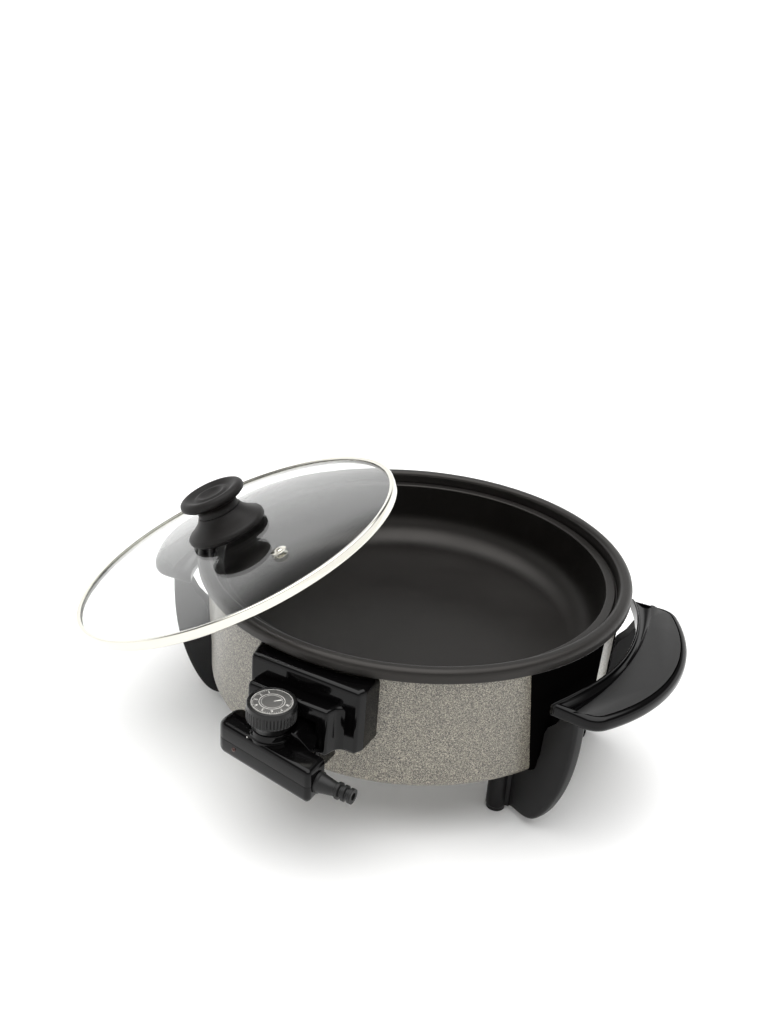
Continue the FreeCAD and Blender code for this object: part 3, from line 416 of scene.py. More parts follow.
def cut_away(ob, cutters, angle=32.0):
    """Subtracts closed meshes from an object and leaves it with the plain result."""
    tmp = []
    for k, bm in enumerate(cutters):
        me = bpy.data.meshes.new("cutter")
        bm.to_mesh(me)
        bm.free()
        c = bpy.data.objects.new("cutter_%d" % k, me)
        SC.collection.objects.link(c)
        md = ob.modifiers.new("cut", "BOOLEAN")
        md.operation = "DIFFERENCE"
        md.solver = "EXACT"
        md.object = c
        tmp.append(c)
    bpy.context.view_layer.update()
    dg = bpy.context.evaluated_depsgraph_get()
    me = bpy.data.meshes.new_from_object(ob.evaluated_get(dg))
    ob.modifiers.clear()
    ob.data = me
    for c in tmp:
        m = c.data
        bpy.data.objects.remove(c)
        bpy.data.meshes.remove(m)
    shade(ob, angle)
    return ob


SIDEWAYS = Matrix(((0, 0, 1, 0), (1, 0, 0, 0), (0, 1, 0, 0), (0, 0, 0, 1)))


def bevel(ob, width, segs=3, angle=40.0, harden=True, material=-1):
    md = ob.modifiers.new("edge", "BEVEL")
    md.width = width * MM
    md.segments = segs
    md.limit_method = "ANGLE"
    md.angle_limit = math.radians(angle)
    md.harden_normals = harden
    md.use_clamp_overlap = True
    md.material = material
    return ob


def weighted(ob):
    md = ob.modifiers.new("normals", "WEIGHTED_NORMAL")
    md.keep_sharp = True
    md.weight = 60
    return ob


# ------------------------------------------------------------------ pan
PAN = fillet([(0, 92), (145.0, 92, 26.0), (145.4, 141.0, 1.2), (152.2, 141.2, 0.8),
              (152.8, 139, 0.5), (154.0, 139, 0.5), (154.7, 149.5, 3.6), (164.5, 149.5, 5.2), (164.5, 140, 1.6),
              (155.2, 140, 0.5), (154.6, 136.6, 1.0), (149.9, 135.4, 1.0), (148.4, 133.0, 1.0),
              (148.6, 87.4, 30.0), (0, 87)], closed=False, step=5.0)
lathe("pan_cast", [tuple(p) for p in PAN], "nonstick", "base", seg=256, closed=False, replaces=("pan",), slot="nonstick")

# ------------------------------------------------------------------ speckled shell with its socket window
SHELL = [(112.0, 48.0)] + [tuple(p) for p in fillet([(140, 48), (155.0, 48, 16.0), (155.25, 74)], closed=False, step=8.0)]
SHELL += [(155.0 + 2.6 * (z - 64) / 76, z) for z in (80, 90, 100, 108, 116, 124, 132, 138.8)]
SHELL += [(157.3, 140.0), (156.1, 140.0)]
SHELL += [(155.8 - 2.6 * (140 - z) / 76, z) for z in (138.8, 132, 124, 116, 108, 100, 90, 80, 74)]
SHELL += [tuple(p) for p in fillet([(153.3, 72), (153.2, 49.8, 14.2), (140, 49.8)], closed=False, step=8.0)][:-1]
SHELL += [(140.0, 49.8), (112.0, 49.8)]
WIN = [math.atan2(-math.sqrt(156.3 ** 2 - x * x), x) % (2 * PI) for x in (-17.0, 25.0)]
TH = sorted([2 * PI * k / 256 for k in range(256) if not any(abs(2 * PI * k / 256 - w) < 0.008 for w in WIN)] + WIN)


def in_window(k, i):
    t = TH[k] + 1e-6
    z0, z1 = SHELL[i][1], SHELL[(i + 1) % len(SHELL)][1]
    return WIN[0] <= t < WIN[1] - 1e-5 and 73.9 <= min(z0, z1) and max(z0, z1) <= 116.1


bm = lathe_bm(SHELL, thetas=TH, skip=in_window)
edges = [e for e in bm.edges if e.is_boundary]
if edges:
    bmesh.ops.bridge_loops(bm, edges=edges)
    bmesh.ops.recalc_face_normals(bm, faces=bm.faces)
finish_mesh("shell_speckled", bm, "speckle", "base", replaces=("outer_shell",), slot="speckle")

# ------------------------------------------------------------------ handles: rounded border, satin top, raised inner blade
RI, REACH, YW, BIG, SMALL = 172.0, 212.0, 88.0, 145.0, 17.0
XB = REACH - BIG
XS = XB + math.sqrt((BIG - SMALL) ** 2 - (YW - SMALL) ** 2)


def arc_pts(cx, cy, r, a0, a1, n):
    return [Vector((cx + r * math.cos(a0 + (a1 - a0) * k / n), cy + r * math.sin(a0 + (a1 - a0) * k / n))) for k in range(n + 1)]


def wing_outline(ri, off, yend, n=1.0):
    """Crescent in plan: concentric inner edge of radius ri, outer edge moved in by off."""
    big, small = BIG - off, SMALL - off
    ta = math.atan2(YW - SMALL, XS - XB)
    a_in = math.asin(yend / ri)
    pts = arc_pts(0, 0, ri, a_in, -a_in, int(40 * n))
    yo = YW - off
    pts += [Vector((XS, -yo))]
    pts += arc_pts(XS, -(YW - SMALL), small, -PI / 2, -ta, int(14 * n))[1:]
    pts += arc_pts(XB, 0, big, -ta, ta, int(44 * n))[1:]
    pts += arc_pts(XS, YW - SMALL, small, ta, PI / 2, int(14 * n))[1:]
    return pts


def make_wing(side):
    turn = Matrix.Rotation(0.0 if side == "right" else PI, 4, "Z")
    bm = bmesh.new()
    nin = 40
    # stacked outlines give the rounded border: (outer inset, inner radius, extra inner inset at the ends, z, material)
    rows = []
    for k in range(7):
        t = (PI / 2) * k / 6
        rows.append((4.0 * (1 - math.sin(t)), RI + 1.4 * (1 - math.sin(t)), 0.0, 108.6 + 4.4 * (1 - math.cos(t)), 0))
    for k in range(1, 9):
        t = (PI / 2) * k / 8
        rows.append((4.4 * (1 - math.cos(t)), RI + 1.8 * (1 - math.cos(t)), 0.0, 115.0 + 4.4 * math.sin(t), 0))
    rows.append((4.8, RI + 2.6, 1.0, 118.9, 0))
    rows.append((4.9, RI + 3.2, 3.0, 118.1, 0))
    rows.append((5.0, RI + 3.8, 5.0, 117.7, 0))
    rows.append((5.1, RI + 4.4, 7.0, 118.0, 0))
    rows.append((5.2, RI + 4.9, 8.4, 118.8, 0))
    rows.append((5.4, RI + 5.3, 9.0, 119.3, 0))
    rows.append((6.2, RI + 6.0, 9.4, 119.5, 1))
    rings = []
    for off, ri, extra, z, mk in rows:
        yend = 86.0 - min(off, 6.0) * 0.8
        ring = []
        for i, p in enumerate(wing_outline(ri, off, yend)):
            q = p.copy()
            if extra and i <= nin:
                f = abs(2.0 * i / nin - 1.0)
                rad = q.length
                q = q * ((rad + extra * f ** 2.0) / rad)
            ring.append(bm.verts.new((q.x * MM, q.y * MM, z * MM)))
        rings.append(ring)
    n = len(rings[0])
    for k, (a, b) in enumerate(zip(rings, rings[1:])):
        for i in range(n):
            f = bm.faces.new((a[i], a[(i + 1) % n], b[(i + 1) % n], b[i]))
            f.material_index = rows[k + 1][4]
    f = bm.faces.new(rings[-1])
    f.material_index = 1
    # hollow underside with a wall
    inner = [bm.verts.new((p.x * MM, p.y * MM, 108.6 * MM)) for p in wing_outline(RI + 4.4, 6.0, 80.0)]
    deep = [bm.verts.new((p.x * MM, p.y * MM, 115.6 * MM)) for p in wing_outline(RI + 5.2, 6.8, 79.2)]
    for a, b in ((inner, rings[0]), (deep, inner)):
        for i in range(n):
            bm.faces.new((a[i], a[(i + 1) % n], b[(i + 1) % n], b[i]))
    bm.faces.new(list(reversed(deep)))
    bmesh.ops.recalc_face_normals(bm, faces=bm.faces)
    finish_mesh("wing_" + side, bm, "gloss", "base", 42, ("handle_" + side,), turn, ("satin",), "phenolic_satin")
    # raised blade along the inner edge, tapering at both ends
    bm = bmesh.new()
    cols = []
    m = 72
    for k in range(m + 1):
        t = k / m
        a = math.radians(-30.0 + 60.0 * t)
        h = min(1.0, 6.0 * min(t, 1 - t)) ** 0.6
        base = 112.0
        top = 119.4 + 3.0 * h
        sec = [(RI - 0.3, base), (RI - 0.3, top - 0.9), (RI, top - 0.25), (RI + 0.6, top), (RI + 1.1, top - 0.25),
               (RI + 1.5, top - 1.0), (RI + 2.4, 117.8), (RI + 2.6, base)]
        cols.append([bm.verts.new((r * math.cos(a) * MM, r * math.sin(a) * MM, z * MM)) for r, z in sec])
    for a, b in zip(cols, cols[1:]):
        for i in range(len(a)):
            j = (i + 1) % len(a)
            bm.faces.new((a[i], a[j], b[j], b[i]))
    bm.faces.new(cols[0])
    bm.faces.new(list(reversed(cols[-1])))
    bmesh.ops.recalc_face_normals(bm, faces=bm.faces)
    finish_mesh("wing_blade_" + side, bm, "gloss", "base", 50, (), turn, (), "phenolic_satin")


for side in ("right", "left"):
    make_wing(side)

# ------------------------------------------------------------------ backing plates on the shell, one lobe at each leg; black with no specular reflection, so they also serve as painted shade under the lip
PROF = [(r, z) for r, z in SHELL if z <= 138.9][1:]
PROF = PROF[:next(i for i, (r, z) in enumerate(PROF) if z > 138.0) + 1]
PROF = [(r, z) for r, z in PROF if r > 148.0]


def plate(side):
    turn = Matrix.Rotation(0.0 if side == "right" else PI, 4, "Z")
    bm = bmesh.new()
    for sgn, a1 in ((-1, 4.0), (1, 19.0)):
        rows = []
        for r, z in PROF:
            q = min(1.0, max(0.0, (z - 50.0) / 88.0))
            a0 = 28.0 + 5.0 * q
            t = 0.5 * min(1.0, (138.8 - z) / 1.5) if z > 137.3 else 0.5
            row = []
            m = 30
            for k in range(m + 1):
                a = math.radians(a0 + (a1 - a0) * k / m)
                e = min(k, m - k)
                th = 0.1 if e == 0 else (1.7 if e == 1 else 2.2)
                row.append(((r + 0.15 + th) * math.cos(a), sgn * (r + 0.15 + th) * math.sin(a), z))
            rows.append(row)
        grid = [[bm.verts.new((x * MM, y * MM, z * MM)) for x, y, z in row] for row in rows]
        back = []
        for (r, z) in PROF:
            q = min(1.0, max(0.0, (z - 50.0) / 88.0))
            a0 = 28.0 + 5.0 * q
            back.append([bm.verts.new(((r + 0.1) * math.cos(a) * MM, sgn * (r + 0.1) * math.sin(a) * MM, z * MM))
                         for a in (math.radians(a0 + (a1 - a0) * k / 30) for k in range(31))])
        for g in (grid, back):
            for a, b in zip(g, g[1:]):
                for k in range(30):
                    bm.faces.new((a[k], a[k + 1], b[k + 1], b[k]))
        for a, b in ((grid[0], back[0]), (grid[-1], back[-1])):
            for k in range(30):
                bm.faces.new((a[k], a[k + 1], b[k + 1], b[k]))
        for k in (0, 30):
            for i in range(len(grid) - 1):
                bm.faces.new((grid[i][k], grid[i + 1][k], back[i + 1][k], back[i][k]))
    bmesh.ops.recalc_face_normals(bm, faces=bm.faces)
    finish_mesh("plates_" + side, bm, "plate", "base", 40, ("handle_bracket_" + side,), turn, (), "phenolic_gloss")


plate("right")
plate("left")

# ------------------------------------------------------------------ legs: fin, rib, post
LEGS = [("front_right", -1, 0), ("back_right", 1, 0), ("front_left", 1, 180), ("back_left", -1, 180)]
RA, RT, Z0, ZC = 150.0, 24.0, 5.0, 107.0
XC = 187.0 - math.sqrt(RA ** 2 - 16.0)
TH0 = math.asin((ZC - Z0 - RT) / (RA - RT))
XA, ZA = XC + RA * math.cos(TH0), ZC - RA * math.sin(TH0)
TOE = (XA - RT * math.cos(TH0), ZA + RT * math.sin(TH0))
for nm, sgn, turn in LEGS:
    outer = spline([(187.2, 108.6), (187.2, 94.0), (186.4, 78.0), (184.2, 62.0), (180.6, 47.0), (175.8, 33.5), (170.0, 21.5),
                    (163.6, 12.2), (157.2, 7.0), (150.0, 5.1), (141.0, 5.0)], 5)
    ol = [Vector((159.6, 66.5)), Vector((160.2, 84.0)), Vector((162.6, 91.0)), Vector((169.0, 97.6)), Vector((173.4, 106.0)),
          Vector((178.0, 112.6)), Vector((185.6, 111.6))] + outer
    ol += [Vector((135.0, Z0)), Vector((135.0, 47.2)), Vector((150.0, 47.2)), Vector((153.6, 48.6)), Vector((156.4, 51.6)),
           Vector((157.6, 56.0)), Vector((158.0, 61.0))]
    bm = bmesh.new()
    rows = [(-5.0, 2.8), (-4.7, 1.5), (-4.0, 0.6), (-3.1, 0.12), (-2.2, 0.0), (2.2, 0.0), (3.1, 0.12), (4.0, 0.6), (4.7, 1.5), (5.0, 2.8)]
    # inward offsets only along the curved outer edge, so that the fin stays flat against the pan
    n = len(ol)
    first, lastk = 7, 7 + len(outer) - 1
    rings = []
    for y, off in rows:
        ring = []
        for i, p in enumerate(ol):
            q = p.copy()
            if first <= i <= lastk:
                t = (ol[min(i + 1, lastk)] - ol[max(i - 1, first)]).normalized()
                nrm = Vector((t.y, -t.x))
                q = p + nrm * off * (0.35 if i == first else 1.0)
                q.y = max(q.y, Z0)
            ring.append(bm.verts.new((q.x * MM, y * MM, q.y * MM)))
        rings.append(ring)
    for a, b in zip(rings, rings[1:]):
        for i in range(n):
            bm.faces.new((a[i], a[(i + 1) % n], b[(i + 1) % n], b[i]))
    bm.faces.new(rings[0])
    bm.faces.new(list(reversed(rings[-1])))
    bmesh.ops.recalc_face_normals(bm, faces=bm.faces)
    rot = Matrix.Rotation(math.radians(sgn * 25.0 + turn), 4, "Z")
    finish_mesh("leg_fin_" + nm, bm, "matt", "base", 36, ("leg_" + nm,), rot, (), "phenolic_matt")
    # post with a rounded foot and a screw recess
    prof = fillet([(4.3, 16.5), (4.3, 2.5, 0.4), (7.5, 2.5, 1.6), (7.5, 47.5, 0.8), (2.2, 47.5), (2.2, 16.5)], step=12)
    ob = lathe("leg_post_" + nm, [tuple(p) for p in prof], "matt", None, seg=64, cx=127.0, cy=8.5 * sgn, matrix=rot)
    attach(ob, "base")
    # web between the post and the fin
    bm = prism_bm([Vector((129, 8.5 * sgn - 1.6)), Vector((137, 4.25 * sgn - 1.6)), Vector((137, 4.25 * sgn + 1.6)),
                   Vector((129, 8.5 * sgn + 1.6))], 5.0, 47.3)
    ob = finish_mesh("leg_web_" + nm, bm, "matt", "base", 30, (), rot, (), "phenolic_matt")

# ------------------------------------------------------------------ dial: ribbed grip, collar, printed face
DX, DY = 1.0, -196.0


def ribs(t, i, r, z):
    if r > 15.2 and 114.6 <= z <= 121.9:
        w = 0.5 + 0.5 * math.cos(44 * t)
        return -0.62 * (w ** 1.6)
    return 0.0


DIAL = [(3.02, 107.4), (9.6, 107.4)] + [tuple(p) for p in fillet([(11.6, 107.4), (12.6, 107.5, 0.5), (14.3, 112.4, 3.0), (14.9, 113.7, 0.5),
        (16.1, 113.9, 0.6), (16.6, 114.4, 0.4), (16.6, 114.6)], closed=False, step=15)]
DIAL += [(16.6, z) for z in (115.0, 117.5, 120.0, 121.6, 121.9)] + [(16.5, 122.1)]
DIAL += [tuple(p) for p in fillet([(16.45, 122.4), (16.3, 125.9, 1.4), (14.3, 125.9, 0.5), (14.15, 124.7)], closed=False, step=12)]
DIAL += [(0.0, 124.7), (0.0, 122.5), (3.02, 122.5)]
lathe("dial_grip", DIAL, "dial", "dial", seg=528, closed=True, mod=ribs, cx=DX, cy=DY, replaces=("dial_knob",), slot="phenolic_satin")
lathe("dial_face", [tuple(p) for p in fillet([(0, 124.72), (14.0, 124.72), (14.0, 125.45, 0.2), (0, 125.5)], closed=False)], "print",
      "dial", seg=96, closed=False, cx=DX, cy=DY, replaces=("dial_plate",), slot="dial_face")


def dial_marks():
    """Generic scale: eight numbers, ticks between them and an index bar, thin raised ink."""
    bm = bmesh.new()
    z0, z1 = 125.5 * MM, 125.58 * MM

    def bar(r0, r1, a, w0, w1):
        d, t = Vector((math.cos(a), math.sin(a))), Vector((-math.sin(a), math.cos(a)))
        q = [d * r0 - t * w0, d * r1 - t * w1, d * r1 + t * w1, d * r0 + t * w0]
        lo = [bm.verts.new(((DX + p.x) * MM, (DY + p.y) * MM, z0)) for p in q]
        hi = [bm.verts.new(((DX + p.x) * MM, (DY + p.y) * MM, z1)) for p in q]
        for i in range(4):
            bm.faces.new((lo[i], lo[(i + 1) % 4], hi[(i + 1) % 4], hi[i]))
        bm.faces.new(hi)
        bm.faces.new(list(reversed(lo)))

    def hoop(r, w):
        n = 96
        rings = [[bm.verts.new(((DX + q * math.cos(2 * PI * k / n)) * MM, (DY + q * math.sin(2 * PI * k / n)) * MM, z))
                  for k in range(n)] for q, z in ((r - w, z0), (r - w, z1), (r + w, z1), (r + w, z0))]
        for i in range(4):
            a, b = rings[i], rings[(i + 1) % 4]
            for k in range(n):
                bm.faces.new((a[k], a[(k + 1) % n], b[(k + 1) % n], b[k]))

    for r, w in ((13.3, 0.12), (8.3, 0.16), (6.9, 0.08)):
        hoop(r, w)
    for k in range(40):
        a = math.radians(-225 + 270.0 * k / 40)
        if k % 5:
            bar(11.9, 12.9, a, 0.09, 0.09)
    bar(1.2, 6.2, math.radians(50), 0.2, 0.55)
    for k in range(8):
        cu = bpy.data.curves.new("n", "FONT")
        cu.body = str(k + 1)
        cu.size = 3.5 * MM
        cu.align_x = "CENTER"
        cu.align_y = "CENTER"
        cu.extrude = 0.04 * MM
        ob = bpy.data.objects.new("n", cu)
        SC.collection.objects.link(ob)
        bpy.context.view_layer.update()
        me = bpy.data.meshes.new_from_object(ob.evaluated_get(bpy.context.evaluated_depsgraph_get()))
        a = math.radians(-225 + 270.0 * (k * 5 + 0.0) / 40)
        me.transform(Matrix.Translation(((DX + 10.5 * math.cos(a)) * MM, (DY + 10.5 * math.sin(a)) * MM, 125.55 * MM))
                     @ Matrix.Rotation(a - PI / 2, 4, "Z"))
        bm.from_mesh(me)
        bpy.data.objects.remove(ob)
        bpy.data.curves.remove(cu)
        bpy.data.meshes.remove(me)
    bmesh.ops.recalc_face_normals(bm, faces=bm.faces)
    finish_mesh("dial_marks", bm, "ink", "dial", 30, (), None, (), "dial_face")


dial_marks()

# ------------------------------------------------------------------ controller body and socket with rounded forms
BAR = [(-36.2, -204.7, 7.5), (44.4, -218.0, 3.4), (44.0, -197.6, 2.6), (25.5, -195.0, 3.0), (25.5, -164.2, 0.8),
       (-17.5, -164.2, 0.8), (-17.5, -184.4, 5.0), (-34.6, -182.0, 7.0)]


def nose(q):
    """The left end's underside rises like the end of a boat."""
    if q.z < 89.0 and q.x < -14.0:
        k = (-14.0 - q.x) / 26.0
        q.z += 1.5 * k ** 3.0 * (89.5 - q.z) / 13.1
    return q


def drop(q):
    """The top falls a little to the left end."""
    if q.z > 92.0 and q.x < -18.0:
        q.z -= 1.0 * ((-18.0 - q.x) / 22.0) ** 2 * (q.z - 90.0) / 11.0
    return q


finish_mesh("controller_lower", block_bm(BAR, 76.4, 89.46, 5.0, 0.25, nose), "gloss", "controller", 46, ("controller_base",), None, (),
            "phenolic_gloss")
ob = finish_mesh("controller_upper", block_bm(BAR, 89.54, 101.4, 0.25, 3.8, drop), "gloss", "controller", 46, ("controller_cover",),
                 None, (), "phenolic_gloss")
# small silver-ink dot beside the dial: a painted highlight standing in for a glint on the dial surround
lathe("painted_highlight_dot", [tuple(p) for p in fillet([(0, 101.2), (0.5, 101.2), (0.46, 101.58, 0.12), (0, 101.62)], closed=False)], "ink",
      "controller", seg=32, closed=False, cx=-9.0, cy=-208.6, slot="dial_face")
HOOD = [(-12.0, 95.0, 0.5), (25.2, 95.0, 0.5), (25.2, 101.0, 1.2), (20.0, 109.6, 0.9), (-12.0, 109.6, 2.5)]


def slope(q):
    """The right side spreads towards the front as a sloping facet. Here q is (x, z, y)."""
    k = min(1.0, max(0.0, (-185.0 - q.z) / 13.0))
    if q.x > 15.0:
        q.x += 7.5 * k * min(1.0, max(0.0, (109.6 - q.y) / 8.6))
    return q


bm = block_bm(HOOD, -198.0, -164.2, 0.4, 0.4, slope, n=3)
mid = [-194.0, -190.5, -187.0, -184.0, -181.0, -175.0]
for y in mid:
    bmesh.ops.bisect_plane(bm, geom=bm.verts[:] + bm.edges[:] + bm.faces[:], plane_co=(0, 0, y * MM), plane_no=(0, 0, 1))
bmesh.ops.transform(bm, matrix=Matrix(((1, 0, 0, 0), (0, 0, 1, 0), (0, 1, 0, 0), (0, 0, 0, 1))), verts=bm.verts)
bmesh.ops.recalc_face_normals(bm, faces=bm.faces)
ob = finish_mesh("controller_hood", bm, "gloss", "controller", 40, (), None, (), "phenolic_gloss")
cut_away(ob, [lathe_bm([(0, 107.0), (15.4, 107.0), (18.4, 112.0), (18.4, 130.0), (0, 130.0)], seg=96, closed=False, cx=DX, cy=DY)], 46)
lathe("dial_collar", [(3.4, 99.0)] + [tuple(p) for p in fillet([(13.9, 99.0), (13.8, 101.6, 0.3), (13.0, 102.6, 1.3), (12.7, 106.9, 0.6),
      (3.4, 106.9)], closed=False)], "gloss", "controller", seg=128, closed=True, cx=DX, cy=DY, slot="phenolic_gloss")
BLOCK = [(-32.0, -172.4, 2.6), (50.4, -172.4, 3.2), (53.0, -166.5, 2.4), (52.6, -147.6, 0.5), (30.0, -153.6, 0.3), (0.0, -156.2, 0.3),
         (-25.0, -154.2, 0.3), (-37.6, -151.6, 0.4)]
INNER = [(-27.0, -184.2, 3.0), (34.8, -184.2, 3.0), (38.2, -172.0, 9.0), (50.0, -172.0, 0.3), (50.0, -158.0, 0.4), (-27.0, -158.0, 0.4)]
CHIN = [(-21.0, -184.0, 2.0), (29.0, -184.0, 2.0), (29.0, -160.0, 0.5), (-21.0, -160.0, 0.5)]


def mouth():
    return block_bm([(-19.0, -192.0, 1.0), (27.0, -192.0, 1.0), (27.0, -140.0, 1.0), (-19.0, -140.0, 1.0)], 77.0, 113.0, 0.6, 0.6)


ob = finish_mesh("socket_block", block_bm(BLOCK, 90.0, 137.2, 2.0, 3.6), "gloss", "base", 46, ("socket_housing",), None, (),
                 "phenolic_gloss")
cut_away(ob, [mouth()], 46)
ob = finish_mesh("socket_inner", block_bm(INNER, 89.0, 123.2, 2.0, 3.2), "gloss", "base", 46, (), None, (), "phenolic_gloss")
cut_away(ob, [mouth(), lathe_bm([(0, 108.0), (17.1, 108.0), (17.1, 130.0), (0, 130.0)], seg=96, closed=False, cx=DX, cy=DY)], 46)
ob = finish_mesh("socket_chin", block_bm(CHIN, 72.0, 92.5, 2.0, 0.3), "gloss", "base", 46, (), None, (), "phenolic_gloss")
cut_away(ob, [mouth()], 46)

# ------------------------------------------------------------------ lid
LN = Vector((-0.3923, -0.1801, 0.902)).normalized()
EX = Vector((0, 1, 0)).cross(LN).normalized()
EY = LN.cross(EX)
LO = Vector((-115.33, -77.82, 156.96)) * MM - LN * 8.0 * MM
LID = Matrix(((EX.x, EY.x, LN.x, LO.x), (EX.y, EY.y, LN.y, LO.y), (EX.z, EY.z, LN.z, LO.z), (0, 0, 0, 1)))
LR, GT, GR = 129.0, 4.0, 11.5
GE = LR - 1.2


def glass_z(r, top=True):
    """Height of the dome at radius r, in the lid's own frame."""
    a, b = Vector((3.4, 1.9 + GR)), Vector((GE, 1.9))
    d = a - b
    up = Vector((-d.y, d.x)).normalized()
    h = math.sqrt(750.0 ** 2 - (d.length / 2) ** 2)
    c = (a + b) / 2 + up * (h if up.y < 0 else -h)
    return c.y + math.sqrt(750.0 ** 2 - (r - c.x) ** 2) + (GT if top else 0.0)


rs = [3.4 + (GE - 1.6 - 3.4) * k / 26 for k in range(27)]
G = [(r, glass_z(r)) for r in rs]
G += [tuple(p) for p in fillet([(rs[-1], glass_z(rs[-1])), (GE, glass_z(GE), 1.3), (GE, glass_z(GE, False), 1.3),
                                (rs[-1], glass_z(rs[-1], False))], closed=False, step=18)][1:-1]
G += [(r, glass_z(r, False)) for r in reversed(rs)]
lathe("glass_disc", G, "glass", "lid", seg=256, closed=True, matrix=LID, replaces=("lid_glass",), slot="glass", angle=50)
BAND = fillet([(LR - 4.2, 0, 0.3), (LR, 0, 1.3), (LR, 8.0, 1.5), (LR - 3.6, 7.1, 0.2), (LR - 3.6, 6.5, 0.2), (LR - 1.0, 6.5, 0.6),
               (LR - 1.0, 0.8, 0.6), (LR - 4.2, 0.8, 0.2)], step=12)
lathe("lid_band", [tuple(p) for p in BAND], "chrome", "lid", seg=320, closed=True, matrix=LID, replaces=("lid_rim_band",),
      slot="band_steel", angle=60)
GS = glass_z(27.0) + 0.35
G0 = glass_z(0.0 + 3.4) + 0.4
SK = [(3.0, G0 + 0.6), (7.0, G0 + 0.6), (8.5, G0 + 3.0), (23.0, GS + 2.8)]
SK += [tuple(p) for p in fillet([(26.0, GS, 0.3), (28.2, GS, 0.5), (28.4, GS + 1.7, 0.3), (30.0, GS + 2.0, 0.9), (30.0, GS + 4.6, 1.2)],
                                closed=False, step=14)]
SK += [tuple(p) for p in spline([(29.0, GS + 6.0), (25.6, GS + 8.2), (21.8, GS + 10.9), (19.0, GS + 13.6), (17.4, GS + 15.8)], 6)]
SK += [tuple(p) for p in fillet([(17.0, GS + 16.6), (16.7, GS + 17.4, 0.3), (12.0, GS + 17.4), (12.0, GS + 16.0)], closed=False)][1:]
SK += [(3.0, GS + 16.0)]
lathe("knob_flare", SK, "knob", "lid", seg=128, closed=True, matrix=LID, replaces=("knob_skirt",), slot="phenolic_matt", angle=38)
ZK = GS + 16.3
KN = [(2.5, ZK), (11.7, ZK), (11.7, ZK + 1.4)]
KN += [tuple(p) for p in spline([(16.1, ZK + 1.4), (15.7, ZK + 3.0), (15.6, ZK + 5.2), (16.8, ZK + 7.2), (19.4, ZK + 8.8), (22.4, ZK + 9.9),
                                 (24.4, ZK + 11.6), (25.0, ZK + 13.6), (24.2, ZK + 15.8), (22.2, ZK + 17.0), (20.0, ZK + 17.1),
                                 (17.6, ZK + 16.2), (15.2, ZK + 15.1), (13.4, ZK + 15.0), (11.8, ZK + 15.6), (10.3, ZK + 15.9),
                                 (8.8, ZK + 15.4), (6.6, ZK + 14.3), (3.4, ZK + 13.6), (0.0, ZK + 13.4)], 6)]
KN += [(0.0, ZK + 8.9), (2.5, ZK + 8.9)]
lathe("knob_grip", KN, "knob", "lid", seg=128, closed=True, matrix=LID, replaces=("lid_knob",), slot="phenolic_matt", angle=38)
VA = math.radians(-28.0)
VX, VY = 80.0 * math.cos(VA), 80.0 * math.sin(VA)
ZT = glass_z(80.0)
EYE = fillet([(1.5, ZT - GT - 0.9, 0.2), (5.6, ZT - GT - 0.9, 0.3), (5.6, ZT - GT - 0.35), (3.3, ZT - GT - 0.3), (3.3, ZT + 0.75),
              (5.7, ZT + 0.75, 0.2), (5.7, ZT + 1.5, 0.5), (3.1, ZT + 1.7, 0.3), (2.6, ZT + 2.3, 0.3), (1.5, ZT + 2.2, 0.35)], step=20)
lathe("vent_ring", [tuple(p) for p in EYE], "eyelet", "lid", seg=64, closed=True, cx=VX, cy=VY, matrix=LID, replaces=("vent_eyelet",),
      slot="steel", angle=50)

# ------------------------------------------------------------------ carried-over nodes
LOOK = {}
for n in NODES:
    if n.startswith("foot_pad") or n == "strain_relief" or n == "knob_washer":
        LOOK[n] = "rubber"
    elif n.startswith("socket_screw"):
        LOOK[n] = "matt"
    elif "screw" in n or n.startswith("element_clamp") or n in (
            "base_plate", "centre_stud", "reflector_spacer", "base_nut", "probe_rod", "thermostat_frame", "bimetal_strip",
            "dial_spindle", "terminal_pin_left", "terminal_pin_right"):
        LOOK[n] = "steel"
    elif n in ("heat_reflector", "probe_guide_tube", "dial_plate"):
        LOOK[n] = "alu"
    elif n == "heating_element":
        LOOK[n] = "sheath"
    elif n in ("terminal_insulator", "contact_stack", "terminal_block"):
        LOOK[n] = "ceramic"
    elif n.startswith("contact_"):
        LOOK[n] = "brass"
    elif n in ("pilot_lens", "pilot_lamp"):
        LOOK[n] = "lens"
    else:
        LOOK[n] = "gloss"
for n, ob in NODES.items():
    me = ob.data
    me.materials.clear()
    me.materials.append(MATS[LOOK[n]])
    me.polygons.foreach_set("material_index", [0] * len(me.polygons))
    if ob.hide_render:
        continue
    shade(ob, 30)
    if n in ("socket_housing", "controller_base", "controller_cover"):
        bevel(ob, 0.5, 2, 38, True)
    weighted(ob)

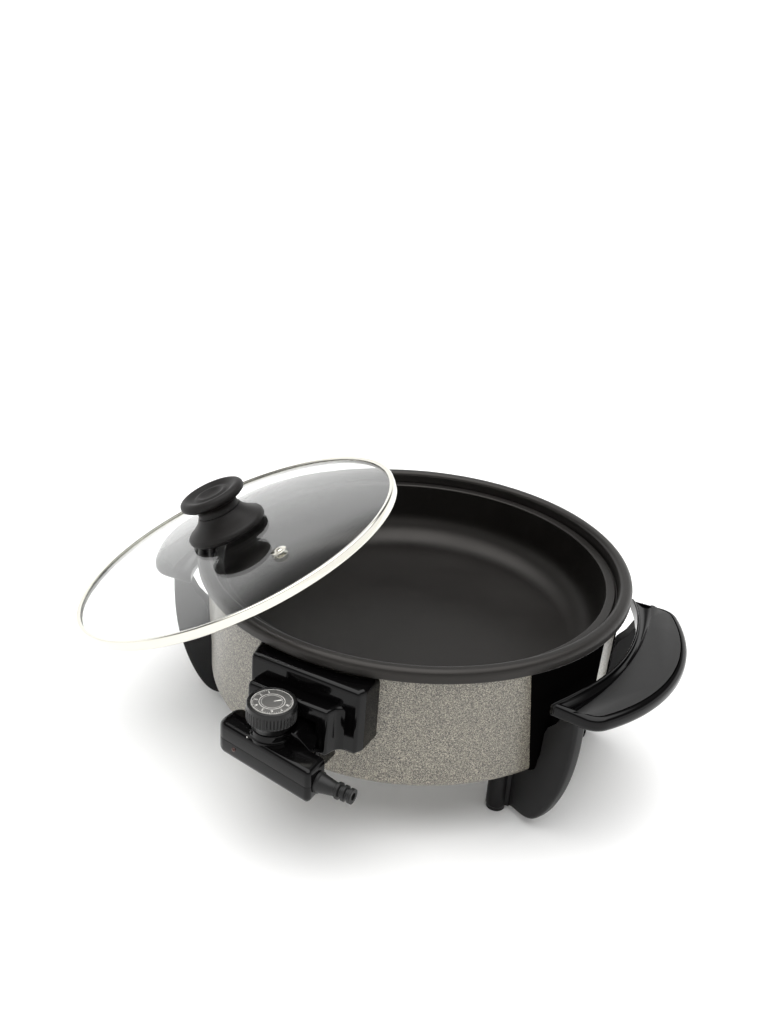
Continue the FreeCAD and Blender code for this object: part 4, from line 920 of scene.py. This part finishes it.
# ------------------------------------------------------------------ floor, light, camera
bm = bmesh.new()
bmesh.ops.create_grid(bm, x_segments=8, y_segments=8, size=30.0)
fl = bpy.data.meshes.new("floor")
bm.to_mesh(fl)
bm.free()
floor = bpy.data.objects.new("floor", fl)
SC.collection.objects.link(floor)
fm = Mat("pale_floor", (0.93, 0.93, 0.93), 0.75, Specular_IOR_Level=0.15)
fm.set("Base Color", fm.mix(fm.noise(3, 2), (0.925, 0.925, 0.922), (0.935, 0.935, 0.935)))
fl.materials.append(fm.m)
floor.location.z = -0.0004

w = bpy.data.worlds.new("studio")
w.use_nodes = True
wt = w.node_tree
bg = wt.nodes["Background"]
bg.inputs[1].default_value = 4.0
tc = wt.nodes.new("ShaderNodeTexCoord")
dt = wt.nodes.new("ShaderNodeVectorMath")
dt.operation = "DOT_PRODUCT"
dt.inputs[1].default_value = (0.0, 0.0, 1.0)
rp = wt.nodes.new("ShaderNodeValToRGB")
rp.color_ramp.interpolation = "EASE"
wt.links.new(tc.outputs["Generated"], dt.inputs[0])
wt.links.new(dt.outputs["Value"], rp.inputs[0])
wt.links.new(rp.outputs[0], bg.inputs[0])
SKY = [(0.0, 0.35), (0.36, 0.35), (0.50, 0.035), (0.70, 0.04), (0.84, 0.86), (1.0, 0.93)]
el = rp.color_ramp.elements
while len(el) < len(SKY):
    el.new(0.5)
for e, (p, v) in zip(el, SKY):
    e.position = p
    e.color = (v, v, v * 0.995, 1.0)
SC.world = w

cam_d = bpy.data.cameras.new("camera")
cam = bpy.data.objects.new("camera", cam_d)
SC.collection.objects.link(cam)
cam_d.sensor_width = 36.0
cam_d.sensor_fit = "AUTO"
cam_d.lens = 39.66
cam_d.clip_start, cam_d.clip_end = 0.05, 100.0
C = Vector((0.3299, -0.6958, 0.5457))
T = Vector((-0.0308, 0.0, 0.1752))
fwd = (T - C).normalized()
az, roll = math.radians(27.4), math.radians(4.3)
right0 = Vector((math.cos(az), math.sin(az), 0))
up0 = right0.cross(fwd)
right = right0 * math.cos(roll) + up0 * math.sin(roll)
up = -right0 * math.sin(roll) + up0 * math.cos(roll)
M = Matrix((right, up, -fwd)).transposed().to_4x4()
M.translation = C
cam.rotation_mode = "QUATERNION"
cam.matrix_world = M
SC.camera = cam

bpy.context.view_layer.update()
